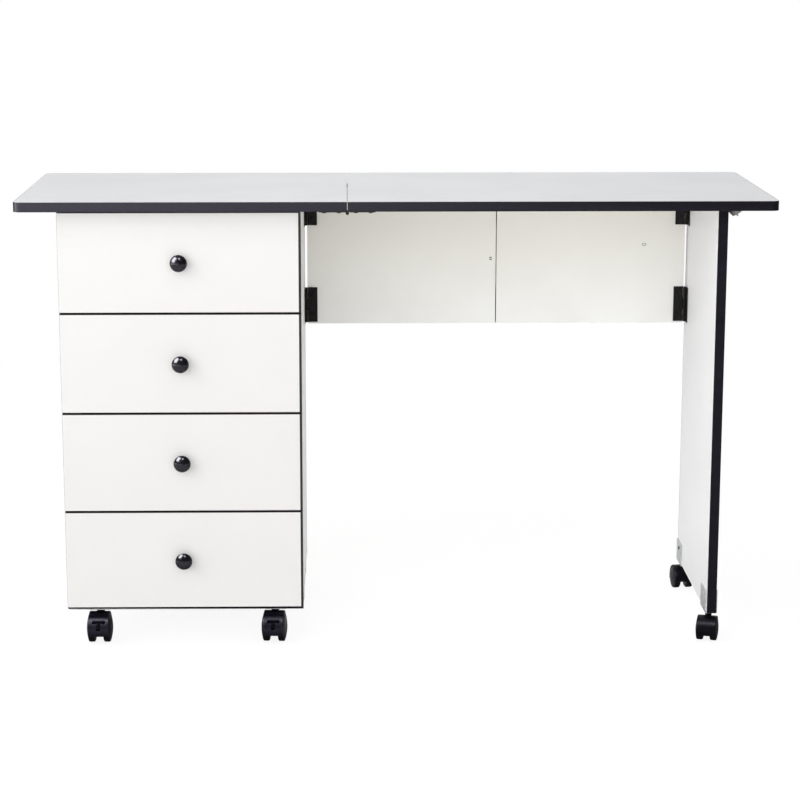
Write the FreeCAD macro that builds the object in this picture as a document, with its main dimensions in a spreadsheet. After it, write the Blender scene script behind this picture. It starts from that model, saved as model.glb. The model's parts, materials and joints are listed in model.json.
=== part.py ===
import FreeCAD, Part
import math
import os
import Sketcher

# Folding sewing and cutting table, in millimetres.
# Origin: on the floor, under the middle of the top. +X is the leaf end, -Y the drawer side, +Z up.

doc = FreeCAD.newDocument("FoldingSewingTable")

# ---- driving dimensions -------------------------------------------------------------------

dimensions = (
    ("table_depth", 460.0, "front to back of the top"),
    ("table_height", 760.0, "floor to the top's upper face"),
    ("board", 16.0, "thickness of every laminated board"),
    ("left_overhang", 66.0, "top beyond the cabinet, left end"),
    ("cabinet_width", 401.0, "across the cabinet's two sides"),
    ("seam_overhang", 77.0, "cabinet's right side to the seam"),
    ("gate_reach", 341.0, "pin to pin of each half of the folding apron"),
    ("leaf_overhang", 79.0, "leaf beyond the leg panel"),
    ("front_setback", 30.0, "drawer fronts and leg behind the top's front edge"),
    ("rear_setback", 20.0, "cabinet's back edge inside the top's back edge"),
    ("seam_gap", 1.0, "between the fixed top and the leaf"),
    ("corner_radius", 12.0, "rounded corners of the top"),
    ("edging", 2.0, "thickness of the black edging"),
    ("rest_gap", 0.3, "leg panel under the leaf"),
    ("cabinet_floor_gap", 59.0, "floor to the cabinet"),
    ("leg_floor_gap", 52.5, "floor to the leg panel"),
    ("back_thickness", 3.0, "cabinet's back panel"),
    ("back_inset", 8.0, "back panel inside the cabinet's back edge"),
    ("groove_depth", 6.0, "groove that holds the back panel"),
    ("groove_play", 0.2, "between a panel and its groove"),
    ("rail_width", 70.0, "rails under the fixed top"),
    ("front_gap", 2.5, "between two drawer fronts"),
    ("bottom_reveal", 8.5, "cabinet showing under the lowest front"),
    ("top_reveal", 4.5, "highest front to the top's underside"),
    ("side_reveal", 1.25, "cabinet showing beside a front"),
    ("front_play", 1.0, "drawer front to the cabinet's front edge"),
    ("drawer_wall", 12.0, "thickness of a drawer's sides and back"),
    ("drawer_play", 1.5, "drawer side to cabinet side"),
    ("drawer_length", 350.0, "drawer's side, front to back"),
    ("drawer_height", 110.0, "drawer's side, height"),
    ("drawer_lift", 18.0, "drawer's side above its front's lower edge"),
    ("drawer_base", 3.0, "drawer's bottom panel"),
    ("base_inset", 8.0, "bottom panel above the sides' lower edges"),
    ("base_groove", 5.0, "depth of the bottom panel's groove"),
    ("runner_height", 14.0, "plastic runner strip"),
    ("runner_reach", 8.0, "runner strip out of the cabinet side"),
    ("runner_length", 330.0, "runner strip, front to back"),
    ("runner_groove", 7.0, "depth of the groove that rides on the runner"),
    ("runner_play", 0.3, "runner strip to its groove"),
    ("knob_radius", 14.6, "knob's cap"),
    ("knob_reach", 22.0, "knob out of the drawer front"),
    ("knob_lift", 1.0, "knob above the middle of its front"),
    ("knob_neck", 6.5, "radius of the knob's neck"),
    ("knob_foot", 8.5, "radius of the knob's foot"),
    ("knob_foot_height", 1.5, "height of the knob's foot"),
    ("knob_flare", 2.5, "height over which the foot narrows to the neck"),
    ("knob_rim", 12.0, "height of the cap's underside above the front"),
    ("knob_lip", 3.0, "height of the cap's rounded lip"),
    ("knob_lip_inset", 0.6, "top of the lip inside the cap's radius"),
    ("knob_lip_radius", 2.2, "rounding of the lip"),
    ("pin_offset", 3.0, "hinge pin's axis off the two boards"),
    ("pin_radius", 1.5, "hinge pin"),
    ("pin_play", 0.05, "hinge pin in its rolls"),
    ("roll_radius", 2.7, "rolled knuckles of a hinge"),
    ("roll_play", 0.3, "between two knuckles along the pin"),
    ("hinge_plate", 1.5, "thickness of a hinge's plates"),
    ("gate_hinge_height", 63.0, "apron hinges, along the pin"),
    ("gate_hinge_width", 20.0, "apron hinges, pin to plate's edge"),
    ("gate_hinge_margin", 3.0, "apron hinges inside the apron's edges"),
    ("seam_hinge_length", 24.0, "leaf hinges, along the pin"),
    ("seam_hinge_width", 46.0, "leaf hinges, pin to plate's end"),
    ("seam_hinge_inset", 3.0, "front leaf hinge inside the top's front edge"),
    ("seam_hinge_rear", 31.0, "rear leaf hinge inside the top's back edge"),
    ("seam_screw_near", 14.0, "first screw of a leaf hinge, from the pin"),
    ("seam_screw_far", 38.0, "second screw of a leaf hinge, from the pin"),
    ("screw_hole", 2.2, "radius of the holes in hinge plates"),
    ("apron_height", 244.0, "folding apron"),
    ("apron_top_gap", 3.0, "apron under the top"),
    ("panel_end_gap", 2.2, "apron board's end to its outer pin"),
    ("fold_gap", 0.6, "apron board's end to the fold's pin line"),
    ("saddle_plate", 2.5, "thickness of the steel castor saddles"),
    ("saddle_wing", 38.0, "saddle's wings up the leg panel"),
    ("saddle_depth", 52.0, "saddle, front to back"),
    ("leg_castor_inset", 33.5, "front leg castor's stem behind the leg's front edge"),
    ("leg_castor_rear", 28.0, "rear leg castor's stem inside the leg's back edge"),
    ("catch_play", 2.0, "spring catch to the leg's outer face"),
    ("catch_width", 18.0, "spring catch, front to back"),
    ("catch_inset", 2.0, "spring catch behind the leg's front edge"),
    ("catch_strip", 1.2, "thickness of the spring catch's strip"),
    ("catch_lip", 3.0, "short upright lip of the spring catch"),
    ("catch_peak", 6.0, "lip to the catch's lowest point"),
    ("catch_drop", 12.5, "catch's lowest point under the leaf"),
    ("catch_foot", 14.5, "lip to the catch's flat foot"),
    ("catch_length", 23.5, "spring catch, lip to end"),
    ("castor_inset", 52.5, "cabinet castors inside the cabinet's left side"),
    ("castor_inset_right", 49.0, "cabinet castors inside the cabinet's right side"),
    ("castor_setback", 45.0, "cabinet castors inside its front and back"),
    ("castor_plate", 2.5, "thickness of the castors' fixing plates"),
    ("castor_plate_side", 42.0, "side of the castors' fixing plates"),
    ("stem_play", 0.05, "castor stem in its socket"),
    ("well_play", 1.0, "castor hood round its wheels"),
    ("axle_play", 0.05, "castor axle in its bores"),
    ("collar_extra", 12.0, "cutting room round a castor's hood"),
    ("wheel_web", 3.0, "closed wall at a wheel's outer face"),
    ("brake_inner", 24.0, "inside radius of the brake lever's bow"),
    ("brake_bar_inner", 26.2, "inside radius of the brake lever's cross bar"),
    ("brake_outer", 27.0, "outside radius of the brake lever's bow"),
    ("brake_bar_outer", 31.0, "outside radius of the brake lever's cross bar"),
    ("brake_low", 9.0, "degrees above the axle where the lever ends"),
    ("brake_mid", 33.5, "degrees above the axle where the cross bar starts"),
    ("brake_high", 38.0, "degrees above the axle where the cross bar ends"),
    ("brake_half", 2.5, "half the width of the lever"),
    ("brake_bar_half", 10.0, "half the width of the cross bar"),
    ("brake_pivot", 22.0, "axle to the lever's pivot"),
    ("brake_pivot_angle", 13.0, "degrees above the axle of the lever's pivot"),
    ("brake_boss", 3.2, "radius of the boss round the pivot"),
    ("brake_pin", 1.5, "radius of the lever's two trunnions"),
    ("brake_play", 0.6, "lever to its slot in the hood"),
    ("brake_slot", 17.8, "radius where the lever's slot starts"),
    ("brake_swing", 7.0, "degrees of slot below the lever"),
    ("brake_dip", 7.5, "degrees of slot below the cross bar"),
    ("brake_rise", 2.0, "degrees of slot above the lever"),
)

# The two castor sizes share their names behind a prefix: big under the cabinet, small on the leg.
castor_sizes = (
    ("wheel", 25.0, 20.0, "wheel's radius"),
    ("half_width", 22.0, 19.3, "middle of the castor to the crown of a wheel's outer face"),
    ("web", 6.8, 5.6, "half of the web between the wheels"),
    ("wheel_play", 0.7, 0.6, "wheel's inner face to the web"),
    ("inner_bevel", 1.8, 1.4, "bevel of the tread's inner edge"),
    ("tread", 16.6, 15.6, "middle of the castor to the tread's outer edge"),
    ("shoulder", 23.9, 19.1, "radius where the outer bevel meets the wheel's domed face"),
    ("shoulder_half", 18.2, 16.9, "middle of the castor to that meeting"),
    ("hood", 28.0, 22.6, "hood's outer radius"),
    ("hood_half", 17.6, 16.8, "middle of the castor to the hood's side"),
    ("hood_round", 1.6, 1.4, "rounding of the hood's shoulders"),
    ("trail", 18.0, 14.0, "stem's axis to axle's axis"),
    ("stem", 4.0, 3.5, "stem's radius"),
    ("axle", 3.0, 2.5, "axle's radius"),
    ("web_floor_gap", 15.5, 12.0, "floor to the web's lower edge"),
)

dims = doc.addObject("Spreadsheet::Sheet", "Dims")
layout = doc.addObject("Spreadsheet::Sheet", "Layout")


def fill(sheet, rows):
    for row, (alias, value, note) in enumerate(rows, start=1):
        sheet.set("A%d" % row, note)
        sheet.set("B%d" % row, value)
        sheet.setAlias("B%d" % row, alias)


rows = [(alias, str(value), note) for alias, value, note in dimensions]
for word, big, small, note in castor_sizes:
    rows.append(("big_" + word, str(big), note + ", cabinet castors"))
    rows.append(("small_" + word, str(small), note + ", leg castors"))
fill(dims, rows)

# Where things lie, worked out from the driving dimensions.
fill(layout, (
    ("width", "=Dims.left_overhang + Dims.cabinet_width + 2 * Dims.pin_offset + 2 * Dims.gate_reach"
              " + Dims.board + Dims.leaf_overhang", "length of the whole top"),
    ("left", "=-width / 2", "top's left end"),
    ("right", "=width / 2", "leaf's right end"),
    ("front", "=-Dims.table_depth / 2", "top's front edge"),
    ("back", "=Dims.table_depth / 2", "top's back edge"),
    ("under", "=Dims.table_height - Dims.board", "top's underside"),
    ("cab_left", "=left + Dims.left_overhang", "cabinet's left side"),
    ("cab_right", "=cab_left + Dims.cabinet_width", "cabinet's right side"),
    ("seam", "=cab_right + Dims.seam_overhang", "middle of the seam"),
    ("face", "=front + Dims.front_setback", "plane of the drawer fronts and of the leg's front edge"),
    ("carcass", "=face + Dims.board + Dims.front_play", "cabinet's front edge"),
    ("cab_back", "=back - Dims.rear_setback", "cabinet's back edge"),
    ("inner_left", "=cab_left + Dims.board", "inside of the cabinet's left side"),
    ("inner_right", "=cab_right - Dims.board", "inside of the cabinet's right side"),
    ("inner_width", "=inner_right - inner_left", "between the cabinet's sides"),
    ("gate_pin_x", "=cab_right + Dims.pin_offset", "apron's pin at the cabinet"),
    ("gate_pin_y", "=face + Dims.gate_reach + Dims.roll_radius + Dims.rest_gap",
     "apron's two end pins, so that the folded apron stays behind the drawer fronts"),
    ("fold_pin_x", "=gate_pin_x + Dims.gate_reach", "apron's pin at the fold"),
    ("fold_pin_y", "=gate_pin_y + Dims.board + 2 * Dims.pin_offset", "apron's pin at the fold"),
    ("leg_pin_x", "=fold_pin_x + Dims.gate_reach", "apron's pin at the leg"),
    ("apron_front", "=gate_pin_y + Dims.pin_offset", "apron's front face"),
    ("apron_back", "=apron_front + Dims.board", "apron's back face and leg panel's back edge"),
    ("apron_top", "=under - Dims.apron_top_gap", "apron's upper edge"),
    ("apron_bottom", "=apron_top - Dims.apron_height", "apron's lower edge"),
    ("leg_in", "=leg_pin_x + Dims.pin_offset", "leg panel's inner face"),
    ("leg_out", "=leg_in + Dims.board", "leg panel's outer face"),
    ("leg_top", "=under - Dims.rest_gap", "leg panel's upper edge"),
    ("front_height", "=(under - Dims.cabinet_floor_gap - Dims.bottom_reveal - Dims.top_reveal"
                     " - 3 * Dims.front_gap) / 4", "height of one drawer front"),
    ("pitch", "=front_height + Dims.front_gap", "drawer to drawer"),
    ("seam_pin_z", "=under - Dims.pin_offset", "leaf hinge's pin"),
    ("crown_rise", "=Dims.knob_reach - Dims.knob_rim - Dims.knob_lip", "height of a knob's crown"),
    ("crown", "=((Dims.knob_radius - Dims.knob_lip_inset) ^ 2 + crown_rise ^ 2) / (2 * crown_rise)",
     "radius of a knob's crown, whose centre lies on the knob's axis"),
    ("big_rise", "=Dims.big_half_width - Dims.big_shoulder_half", "height of a cabinet castor's dome"),
    ("big_dome", "=(Dims.big_shoulder ^ 2 + big_rise ^ 2) / (2 * big_rise)",
     "radius of that dome, whose centre lies on the axle"),
    ("small_rise", "=Dims.small_half_width - Dims.small_shoulder_half", "height of a leg castor's dome"),
    ("small_dome", "=(Dims.small_shoulder ^ 2 + small_rise ^ 2) / (2 * small_rise)",
     "radius of that dome, whose centre lies on the axle"),
    ("drawer_width", "=inner_width - 2 * Dims.drawer_play", "across a drawer's sides"),
    ("gate_hinge_low", "=apron_bottom + Dims.gate_hinge_margin", "lower apron hinges"),
    ("gate_hinge_high", "=apron_top - Dims.gate_hinge_margin - Dims.gate_hinge_height",
     "upper apron hinges"),
    ("saddle_under", "=Dims.leg_floor_gap - Dims.saddle_plate", "underside of the castor saddles"),
    ("plate_under", "=Dims.cabinet_floor_gap - Dims.castor_plate", "underside of the castor plates"),
))
doc.recompute()


def number(expression):
    """Value of an expression over the two sheets."""
    value = dims.evalExpression(str(expression))
    return float(getattr(value, "Value", value))


def bind(item, values):
    for prop, expression in values.items():
        item.setExpression(prop, str(expression))


def place(item, base, axis=None, angle=0):
    """Placement whose base follows the sheets; axis and angle turn the item first."""
    if axis is not None:
        item.Placement = FreeCAD.Placement(FreeCAD.Vector(), FreeCAD.Rotation(FreeCAD.Vector(*axis), angle))
    bind(item, dict(zip(("Placement.Base.x", "Placement.Base.y", "Placement.Base.z"), base)))


# ---- small modelling helpers -----------------------------------------------------------------

nodes = []


def node(item, name):
    """Marks an object as a sub-part that gets its own file."""
    item.Label = name
    nodes.append(item)
    return item


def box(name, base, size):
    """Part box whose base corner and three sizes are expressions."""
    item = doc.addObject("Part::Box", name)
    bind(item, {"Length": size[0], "Width": size[1], "Height": size[2]})
    place(item, base)
    return item


def cylinder(name, base, radius, height, axis=None, angle=0):
    item = doc.addObject("Part::Cylinder", name)
    bind(item, {"Radius": radius, "Height": height})
    place(item, base, axis, angle)
    return item


def cut(name, base, tools):
    """Base less all the tools."""
    tool = tools[0]
    if len(tools) > 1:
        tool = doc.addObject("Part::MultiFuse", name + "_tools")
        tool.Shapes = tools
    item = doc.addObject("Part::Cut", name)
    item.Base = base
    item.Tool = tool
    return item


def group(name, items):
    """Several separate solids of one kind in one sub-part."""
    item = doc.addObject("Part::Compound", name)
    item.Links = items
    return node(item, name)


def new_body(name):
    return doc.addObject("PartDesign::Body", name)


def origin_plane(body, role):
    for feature in body.Origin.OriginFeatures:
        if feature.Role == role:
            return feature
    raise ValueError(role)


def new_sketch(body, name, role, offset=None):
    """Sketch on an origin plane; offset is an expression along the plane's normal."""
    sketch = body.newObject("Sketcher::SketchObject", name)
    sketch.AttachmentSupport = (origin_plane(body, role), [""])
    sketch.MapMode = "FlatFace"
    if offset is not None:
        sketch.setExpression("AttachmentOffset.Base.z", str(offset))
    return sketch


def pin_point(sketch, index, end, corner):
    """Ties one end of a sketch line or arc to its corner's two expressions."""
    for kind, expression, axis in (("DistanceX", corner[0], -2), ("DistanceY", corner[1], -1)):
        if str(expression) == "0":
            sketch.addConstraint(Sketcher.Constraint("PointOnObject", index, end, axis))
        else:
            row = sketch.addConstraint(
                Sketcher.Constraint(kind, -1, 1, index, end, number(expression)))
            sketch.setExpression("Constraints[%d]" % row, str(expression))


def outline(sketch, corners):
    """Closed outline. A corner is (x, y), or (x, y, radius, bulge) when an arc of that radius
    leads to the next corner: bulge is 1 for an arc that turns left on its way, -1 for right,
    and 2 or -2 for the longer arc of the same circle."""
    points = [FreeCAD.Vector(number(c[0]), number(c[1]), 0) for c in corners]
    ends = []
    first = sketch.GeometryCount
    for i, corner in enumerate(corners):
        start, stop = points[i], points[(i + 1) % len(points)]
        if len(corner) == 2:
            sketch.addGeometry(Part.LineSegment(start, stop))
            ends.append((1, 2))
            continue
        radius, bulge = number(corner[2]), corner[3]
        chord = stop - start
        side = FreeCAD.Vector(-chord.y, chord.x, 0).normalize()
        rise = math.sqrt(max(radius ** 2 - (chord.Length / 2) ** 2, 0.0))
        toward = 1 if bulge in (1, -2) else -1
        centre = (start + stop) * 0.5 + side * rise * toward
        angles = [math.atan2(p.y - centre.y, p.x - centre.x) for p in (start, stop)]
        if bulge < 0:
            angles.reverse()
        if angles[1] < angles[0]:
            angles[1] += 2 * math.pi
        circle = Part.Circle(centre, FreeCAD.Vector(0, 0, 1), radius)
        sketch.addGeometry(Part.ArcOfCircle(circle, angles[0], angles[1]))
        ends.append((1, 2) if bulge > 0 else (2, 1))
    for i, corner in enumerate(corners):
        follower = (i + 1) % len(corners)
        sketch.addConstraint(Sketcher.Constraint(
            "Coincident", first + i, ends[i][1], first + follower, ends[follower][0]))
    for i, corner in enumerate(corners):
        pin_point(sketch, first + i, ends[i][0], corner)
        if len(corner) > 2:
            row = sketch.addConstraint(
                Sketcher.Constraint("Radius", first + i, number(corner[2])))
            sketch.setExpression("Constraints[%d]" % row, str(corner[2]))
    return sketch


def circle(sketch, centre, radius):
    middle = FreeCAD.Vector(number(centre[0]), number(centre[1]), 0)
    index = sketch.addGeometry(Part.Circle(middle, FreeCAD.Vector(0, 0, 1), number(radius)))
    pin_point(sketch, index, 3, centre)
    row = sketch.addConstraint(Sketcher.Constraint("Radius", index, number(radius)))
    sketch.setExpression("Constraints[%d]" % row, str(radius))
    return sketch


def pad(body, sketch, length, middle=False):
    feature = body.newObject("PartDesign::Pad", sketch.Name + "_pad")
    feature.Profile = sketch
    feature.setExpression("Length", str(length))
    if middle:
        feature.Midplane = True
    body.Tip = feature
    return feature


def pocket(body, sketch, length=None, flip=False, middle=False):
    """Pocket of one depth, or through everything both ways; it has to remove material."""
    doc.recompute()
    before = body.Shape.Volume
    feature = body.newObject("PartDesign::Pocket", sketch.Name + "_pocket")
    feature.Profile = sketch
    if length is None:
        feature.Type = "ThroughAll"
        feature.Midplane = True
    else:
        feature.setExpression("Length", str(length))
        feature.Midplane = middle
        feature.Reversed = flip
    body.Tip = feature
    doc.recompute()
    if not body.Shape.Volume < before - 1e-3:
        raise ValueError("pocket removes nothing: " + feature.Name)
    return feature


def revolve(body, sketch, axis):
    feature = body.newObject("PartDesign::Revolution", sketch.Name + "_turn")
    feature.Profile = sketch
    feature.ReferenceAxis = (sketch, [axis])
    feature.Angle = 360
    body.Tip = feature
    return feature


def round_edges(body, radius, wanted):
    """Fillet on the tip's edges that the test picks."""
    doc.recompute()
    tip = body.Tip
    names = ["Edge%d" % (i + 1) for i, edge in enumerate(tip.Shape.Edges) if wanted(edge)]
    feature = body.newObject("PartDesign::Fillet", body.Name + "_round")
    feature.Base = (tip, names)
    feature.setExpression("Radius", str(radius))
    body.Tip = feature
    return feature


def upright(edge):
    first, last = edge.Vertexes[0].Point, edge.Vertexes[-1].Point
    return abs(first.x - last.x) < 1e-6 and abs(first.y - last.y) < 1e-6


# ---- fixed top and leaf ------------------------------------------------------------------------
# Each is a laminated board with black edging round its three free sides.

def top_board(name, inner_x, outer_x, side):
    """Board from the seam end at inner_x to outer_x; side is 1 when the free end is to the right."""
    end = "(%s - %d * Dims.edging)" % (outer_x, side)
    body = new_body(name)
    sketch = new_sketch(body, name + "_plan", "XY_Plane")
    low, high = "Layout.front + Dims.edging", "Layout.back - Dims.edging"
    outline(sketch, [(inner_x, low), (end, low), (end, high), (inner_x, high)])
    pad(body, sketch, "Dims.board")
    free = number(end)
    round_edges(body, "Dims.corner_radius - Dims.edging",
                lambda edge: upright(edge) and abs(edge.Vertexes[0].X - free) < 1e-3)
    place(body, ("0", "0", "Layout.under"))
    return node(body, name)


def top_edging(name, inner_x, outer_x, side):
    """Edging of constant thickness that wraps the board's free end and both long sides."""
    body = new_body(name)
    sketch = new_sketch(body, name + "_plan", "XY_Plane")
    radius, inset = "Dims.corner_radius", "Dims.edging"
    turn = 1 if side > 0 else -1
    outer_bend = "(%s - %d * %s)" % (outer_x, side, radius)
    inner_end = "(%s - %d * %s)" % (outer_x, side, inset)
    inner_radius = "(%s - %s)" % (radius, inset)
    outline(sketch, [
        (inner_x, "Layout.front"),
        (outer_bend, "Layout.front", radius, turn),
        (outer_x, "Layout.front + " + radius),
        (outer_x, "Layout.back - " + radius, radius, turn),
        (outer_bend, "Layout.back"),
        (inner_x, "Layout.back"),
        (inner_x, "Layout.back - " + inset),
        (outer_bend, "Layout.back - " + inset, inner_radius, -turn),
        (inner_end, "Layout.back - " + radius),
        (inner_end, "Layout.front + " + radius, inner_radius, -turn),
        (outer_bend, "Layout.front + " + inset),
        (inner_x, "Layout.front + " + inset),
    ])
    pad(body, sketch, "Dims.board")
    place(body, ("0", "0", "Layout.under"))
    return node(body, name)


seam_left = "(Layout.seam - Dims.seam_gap / 2)"
seam_right = "(Layout.seam + Dims.seam_gap / 2)"
top_board("table_top", seam_left, "Layout.left", -1)
top_edging("table_top_edging", seam_left, "Layout.left", -1)
top_board("leaf_board", seam_right, "Layout.right", 1)
top_edging("leaf_edging", seam_right, "Layout.right", 1)

# ---- cabinet ----------------------------------------------------------------------------------

carcass_depth = "(Layout.cab_back - Layout.carcass)"
carcass_height = "(Layout.under - Dims.cabinet_floor_gap)"
groove_front = "(Layout.cab_back - Dims.back_inset - Dims.back_thickness - Dims.groove_play)"
groove_width = "(Dims.back_thickness + 2 * Dims.groove_play)"

for name, side_x, groove_x in (
        ("cabinet_side_left", "Layout.cab_left", "Layout.inner_left - Dims.groove_depth"),
        ("cabinet_side_right", "Layout.inner_right", "Layout.inner_right - 1")):
    board = box(name + "_board", (side_x, "Layout.carcass", "Dims.cabinet_floor_gap"),
                ("Dims.board", carcass_depth, carcass_height))
    groove = box(name + "_groove", (groove_x, groove_front, "Dims.cabinet_floor_gap + Dims.board"),
                 ("Dims.groove_depth + 1", groove_width, carcass_height))
    node(cut(name, board, [groove]), name)

node(box("cabinet_bottom", ("Layout.inner_left", "Layout.carcass", "Dims.cabinet_floor_gap"),
         ("Layout.inner_width", carcass_depth, "Dims.board")), "cabinet_bottom")

panel_grip = "(Dims.groove_depth - Dims.groove_play)"
node(box("cabinet_back", ("Layout.inner_left - " + panel_grip, groove_front + " + Dims.groove_play",
                          "Dims.cabinet_floor_gap + Dims.board"),
         ("Layout.inner_width + 2 * " + panel_grip, "Dims.back_thickness",
          carcass_height + " - Dims.board")), "cabinet_back")

rail_z = "Layout.under - Dims.board"
rail_size = ("Layout.inner_width", "Dims.rail_width", "Dims.board")
group("cabinet_rails", [
    box("rail_front", ("Layout.inner_left", "Layout.carcass", rail_z), rail_size),
    box("rail_rear", ("Layout.inner_left", groove_front + " - Dims.rail_width", rail_z), rail_size),
])


def drawer_foot(index):
    """Lower edge of a drawer's side boards."""
    return ("(Dims.cabinet_floor_gap + Dims.bottom_reveal + %d * Layout.pitch + Dims.drawer_lift)"
            % index)


def runner_foot(index):
    return drawer_foot(index) + " + (Dims.drawer_height - Dims.runner_height) / 2"


strips = []
for index in range(4):
    for side, strip_x in (("l", "Layout.inner_left"), ("r", "Layout.inner_right - Dims.runner_reach")):
        strips.append(box("runner_%d%s" % (index, side),
                          (strip_x, "Layout.carcass + 2", runner_foot(index)),
                          ("Dims.runner_reach", "Dims.runner_length", "Dims.runner_height")))
group("cabinet_runners", strips)

# ---- drawers ------------------------------------------------------------------------------------


def drawer(index):
    name = "drawer_%d" % (index + 1)
    front_z = "Dims.cabinet_floor_gap + Dims.bottom_reveal + %d * Layout.pitch" % index
    node(box(name + "_front", ("Layout.cab_left + Dims.side_reveal", "Layout.face", front_z),
             ("Dims.cabinet_width - 2 * Dims.side_reveal", "Dims.board", "Layout.front_height")),
         name + "_front")

    foot = drawer_foot(index)
    start = "(Layout.face + Dims.board)"
    left = "(Layout.inner_left + Dims.drawer_play)"
    right = "(Layout.inner_right - Dims.drawer_play - Dims.drawer_wall)"
    base_z = foot + " + Dims.base_inset"
    runner_cut = "(Dims.runner_groove + 1)"
    walls = []
    for side, wall_x, runner_x, base_x in (
            ("left", left, left + " - 1", left + " + Dims.drawer_wall - Dims.base_groove"),
            ("right", right, right + " + Dims.drawer_wall - Dims.runner_groove", right + " - 1")):
        wall = box("%s_%s_board" % (name, side), (wall_x, start, foot),
                   ("Dims.drawer_wall", "Dims.drawer_length", "Dims.drawer_height"))
        slide = box("%s_%s_slide" % (name, side),
                    (runner_x, start + " - 1", runner_foot(index) + " - Dims.runner_play"),
                    (runner_cut, "Dims.drawer_length + 2", "Dims.runner_height + 2 * Dims.runner_play"))
        groove = box("%s_%s_groove" % (name, side), (base_x, start + " - 1", base_z),
                     ("Dims.base_groove + 1", "Dims.drawer_length + 2",
                      "Dims.drawer_base + Dims.groove_play"))
        walls.append(cut("%s_%s" % (name, side), wall, [slide, groove]))
    inner = "(Layout.drawer_width - 2 * Dims.drawer_wall)"
    walls.append(box(name + "_rear",
                     (left + " + Dims.drawer_wall",
                      start + " + Dims.drawer_length - Dims.drawer_wall",
                      base_z + " + Dims.drawer_base"),
                     (inner, "Dims.drawer_wall",
                      "Dims.drawer_height - Dims.base_inset - Dims.drawer_base")))
    grip = "(Dims.base_groove - Dims.groove_play)"
    walls.append(box(name + "_base", (left + " + Dims.drawer_wall - " + grip, start, base_z),
                     (inner + " + 2 * " + grip, "Dims.drawer_length", "Dims.drawer_base")))
    group(name + "_box", walls)

    knob = new_body(name + "_knob")
    sketch = new_sketch(knob, name + "_knob_profile", "XY_Plane")
    outline(sketch, [
        ("0", "0"),
        ("Dims.knob_foot", "0"),
        ("Dims.knob_foot", "Dims.knob_foot_height"),
        ("Dims.knob_neck", "Dims.knob_foot_height + Dims.knob_flare"),
        ("Dims.knob_neck", "Dims.knob_rim"),
        ("Dims.knob_radius - Dims.knob_lip / 2", "Dims.knob_rim", "Dims.knob_lip_radius", 1),
        ("Dims.knob_radius - Dims.knob_lip_inset", "Dims.knob_rim + Dims.knob_lip", "Layout.crown", 1),
        ("0", "Dims.knob_reach"),
    ])
    revolve(knob, sketch, "V_Axis")
    place(knob, ("Layout.cab_left + Dims.cabinet_width / 2", "Layout.face",
                 front_z + " + Layout.front_height / 2 + Dims.knob_lift"), (1, 0, 0), 180)
    node(knob, name + "_knob")


for index in range(4):
    drawer(index)

# ---- folding apron and leg panel ---------------------------------------------------------------

board_length = "(Dims.gate_reach - Dims.panel_end_gap - Dims.fold_gap)"
for name, panel_x in (("apron_left_panel", "Layout.gate_pin_x + Dims.panel_end_gap"),
                      ("apron_right_panel", "Layout.fold_pin_x + Dims.fold_gap")):
    node(box(name, (panel_x, "Layout.apron_front", "Layout.apron_bottom"),
             (board_length, "Dims.board", "Dims.apron_height")), name)

leg_height = "(Layout.leg_top - Dims.leg_floor_gap)"
node(box("leg_panel", ("Layout.leg_in", "Layout.face + Dims.edging", "Dims.leg_floor_gap"),
         ("Dims.board", "Layout.apron_back - Layout.face - 2 * Dims.edging", leg_height)), "leg_panel")
group("leg_edging", [
    box("leg_edging_front", ("Layout.leg_in", "Layout.face", "Dims.leg_floor_gap"),
        ("Dims.board", "Dims.edging", leg_height)),
    box("leg_edging_rear", ("Layout.leg_in", "Layout.apron_back - Dims.edging", "Dims.leg_floor_gap"),
        ("Dims.board", "Dims.edging", leg_height)),
])

# ---- hinges ---------------------------------------------------------------------------------------
# A hinge leaf's own frame: the pin runs along Z from 0, the plate runs out along +X and the board
# it is screwed to lies beyond y = pin_offset.


def hinge_leaf(name, height, width, knuckles, own, screws):
    """own: 0 for the leaf with the outer knuckles, 1 for the one between them."""
    body = new_body(name)
    play = "Dims.roll_play" if own else "0"
    inner = "(Dims.pin_offset - Dims.hinge_plate)"
    step = "(%s / %d)" % (height, knuckles)
    plate = new_sketch(body, name + "_plate", "XY_Plane")
    clear = "(Dims.roll_radius + Dims.roll_play)"
    outline(plate, [(clear, inner), (width, inner), (width, "Dims.pin_offset"),
                    (clear, "Dims.pin_offset")])
    pad(body, plate, height)
    roll = new_sketch(body, name + "_roll", "XY_Plane", "%d * %s + %s" % (own, step, play))
    tangent = "sqrt(Dims.roll_radius ^ 2 - %s ^ 2)" % inner
    outline(roll, [("0", "Dims.roll_radius", "Dims.roll_radius", 2),
                   (tangent, inner),
                   (clear + " + 1", inner),
                   (clear + " + 1", "Dims.roll_radius")])
    circle(roll, ("0", "0"), "Dims.pin_radius + Dims.pin_play")
    first = pad(body, roll, "%s - 2 * %s" % (step, play))
    count = (knuckles - own + 1) // 2
    if count > 1:
        pattern = body.newObject("PartDesign::LinearPattern", name + "_rolls")
        pattern.Originals = [first]
        pattern.Direction = (roll, ["N_Axis"])
        pattern.Occurrences = count
        pattern.setExpression("Length", "%d * %s" % (2 * (count - 1), step))
        body.Tip = pattern
    holes = new_sketch(body, name + "_holes", "XZ_Plane")
    for along, up in screws:
        circle(holes, (along, up), "Dims.screw_hole")
    pocket(body, holes)
    return body


def hinge_set(name, height, width, knuckles, own, screws, spots, axis=None, angle=0):
    """One leaf at each spot, all turned the same way."""
    leaves = []
    for count, base in enumerate(spots):
        leaf = hinge_leaf("%s_%d" % (name, count + 1), height, width, knuckles, own, screws)
        place(leaf, base, axis, angle)
        leaves.append(leaf)
    return group(name, leaves)


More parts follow.
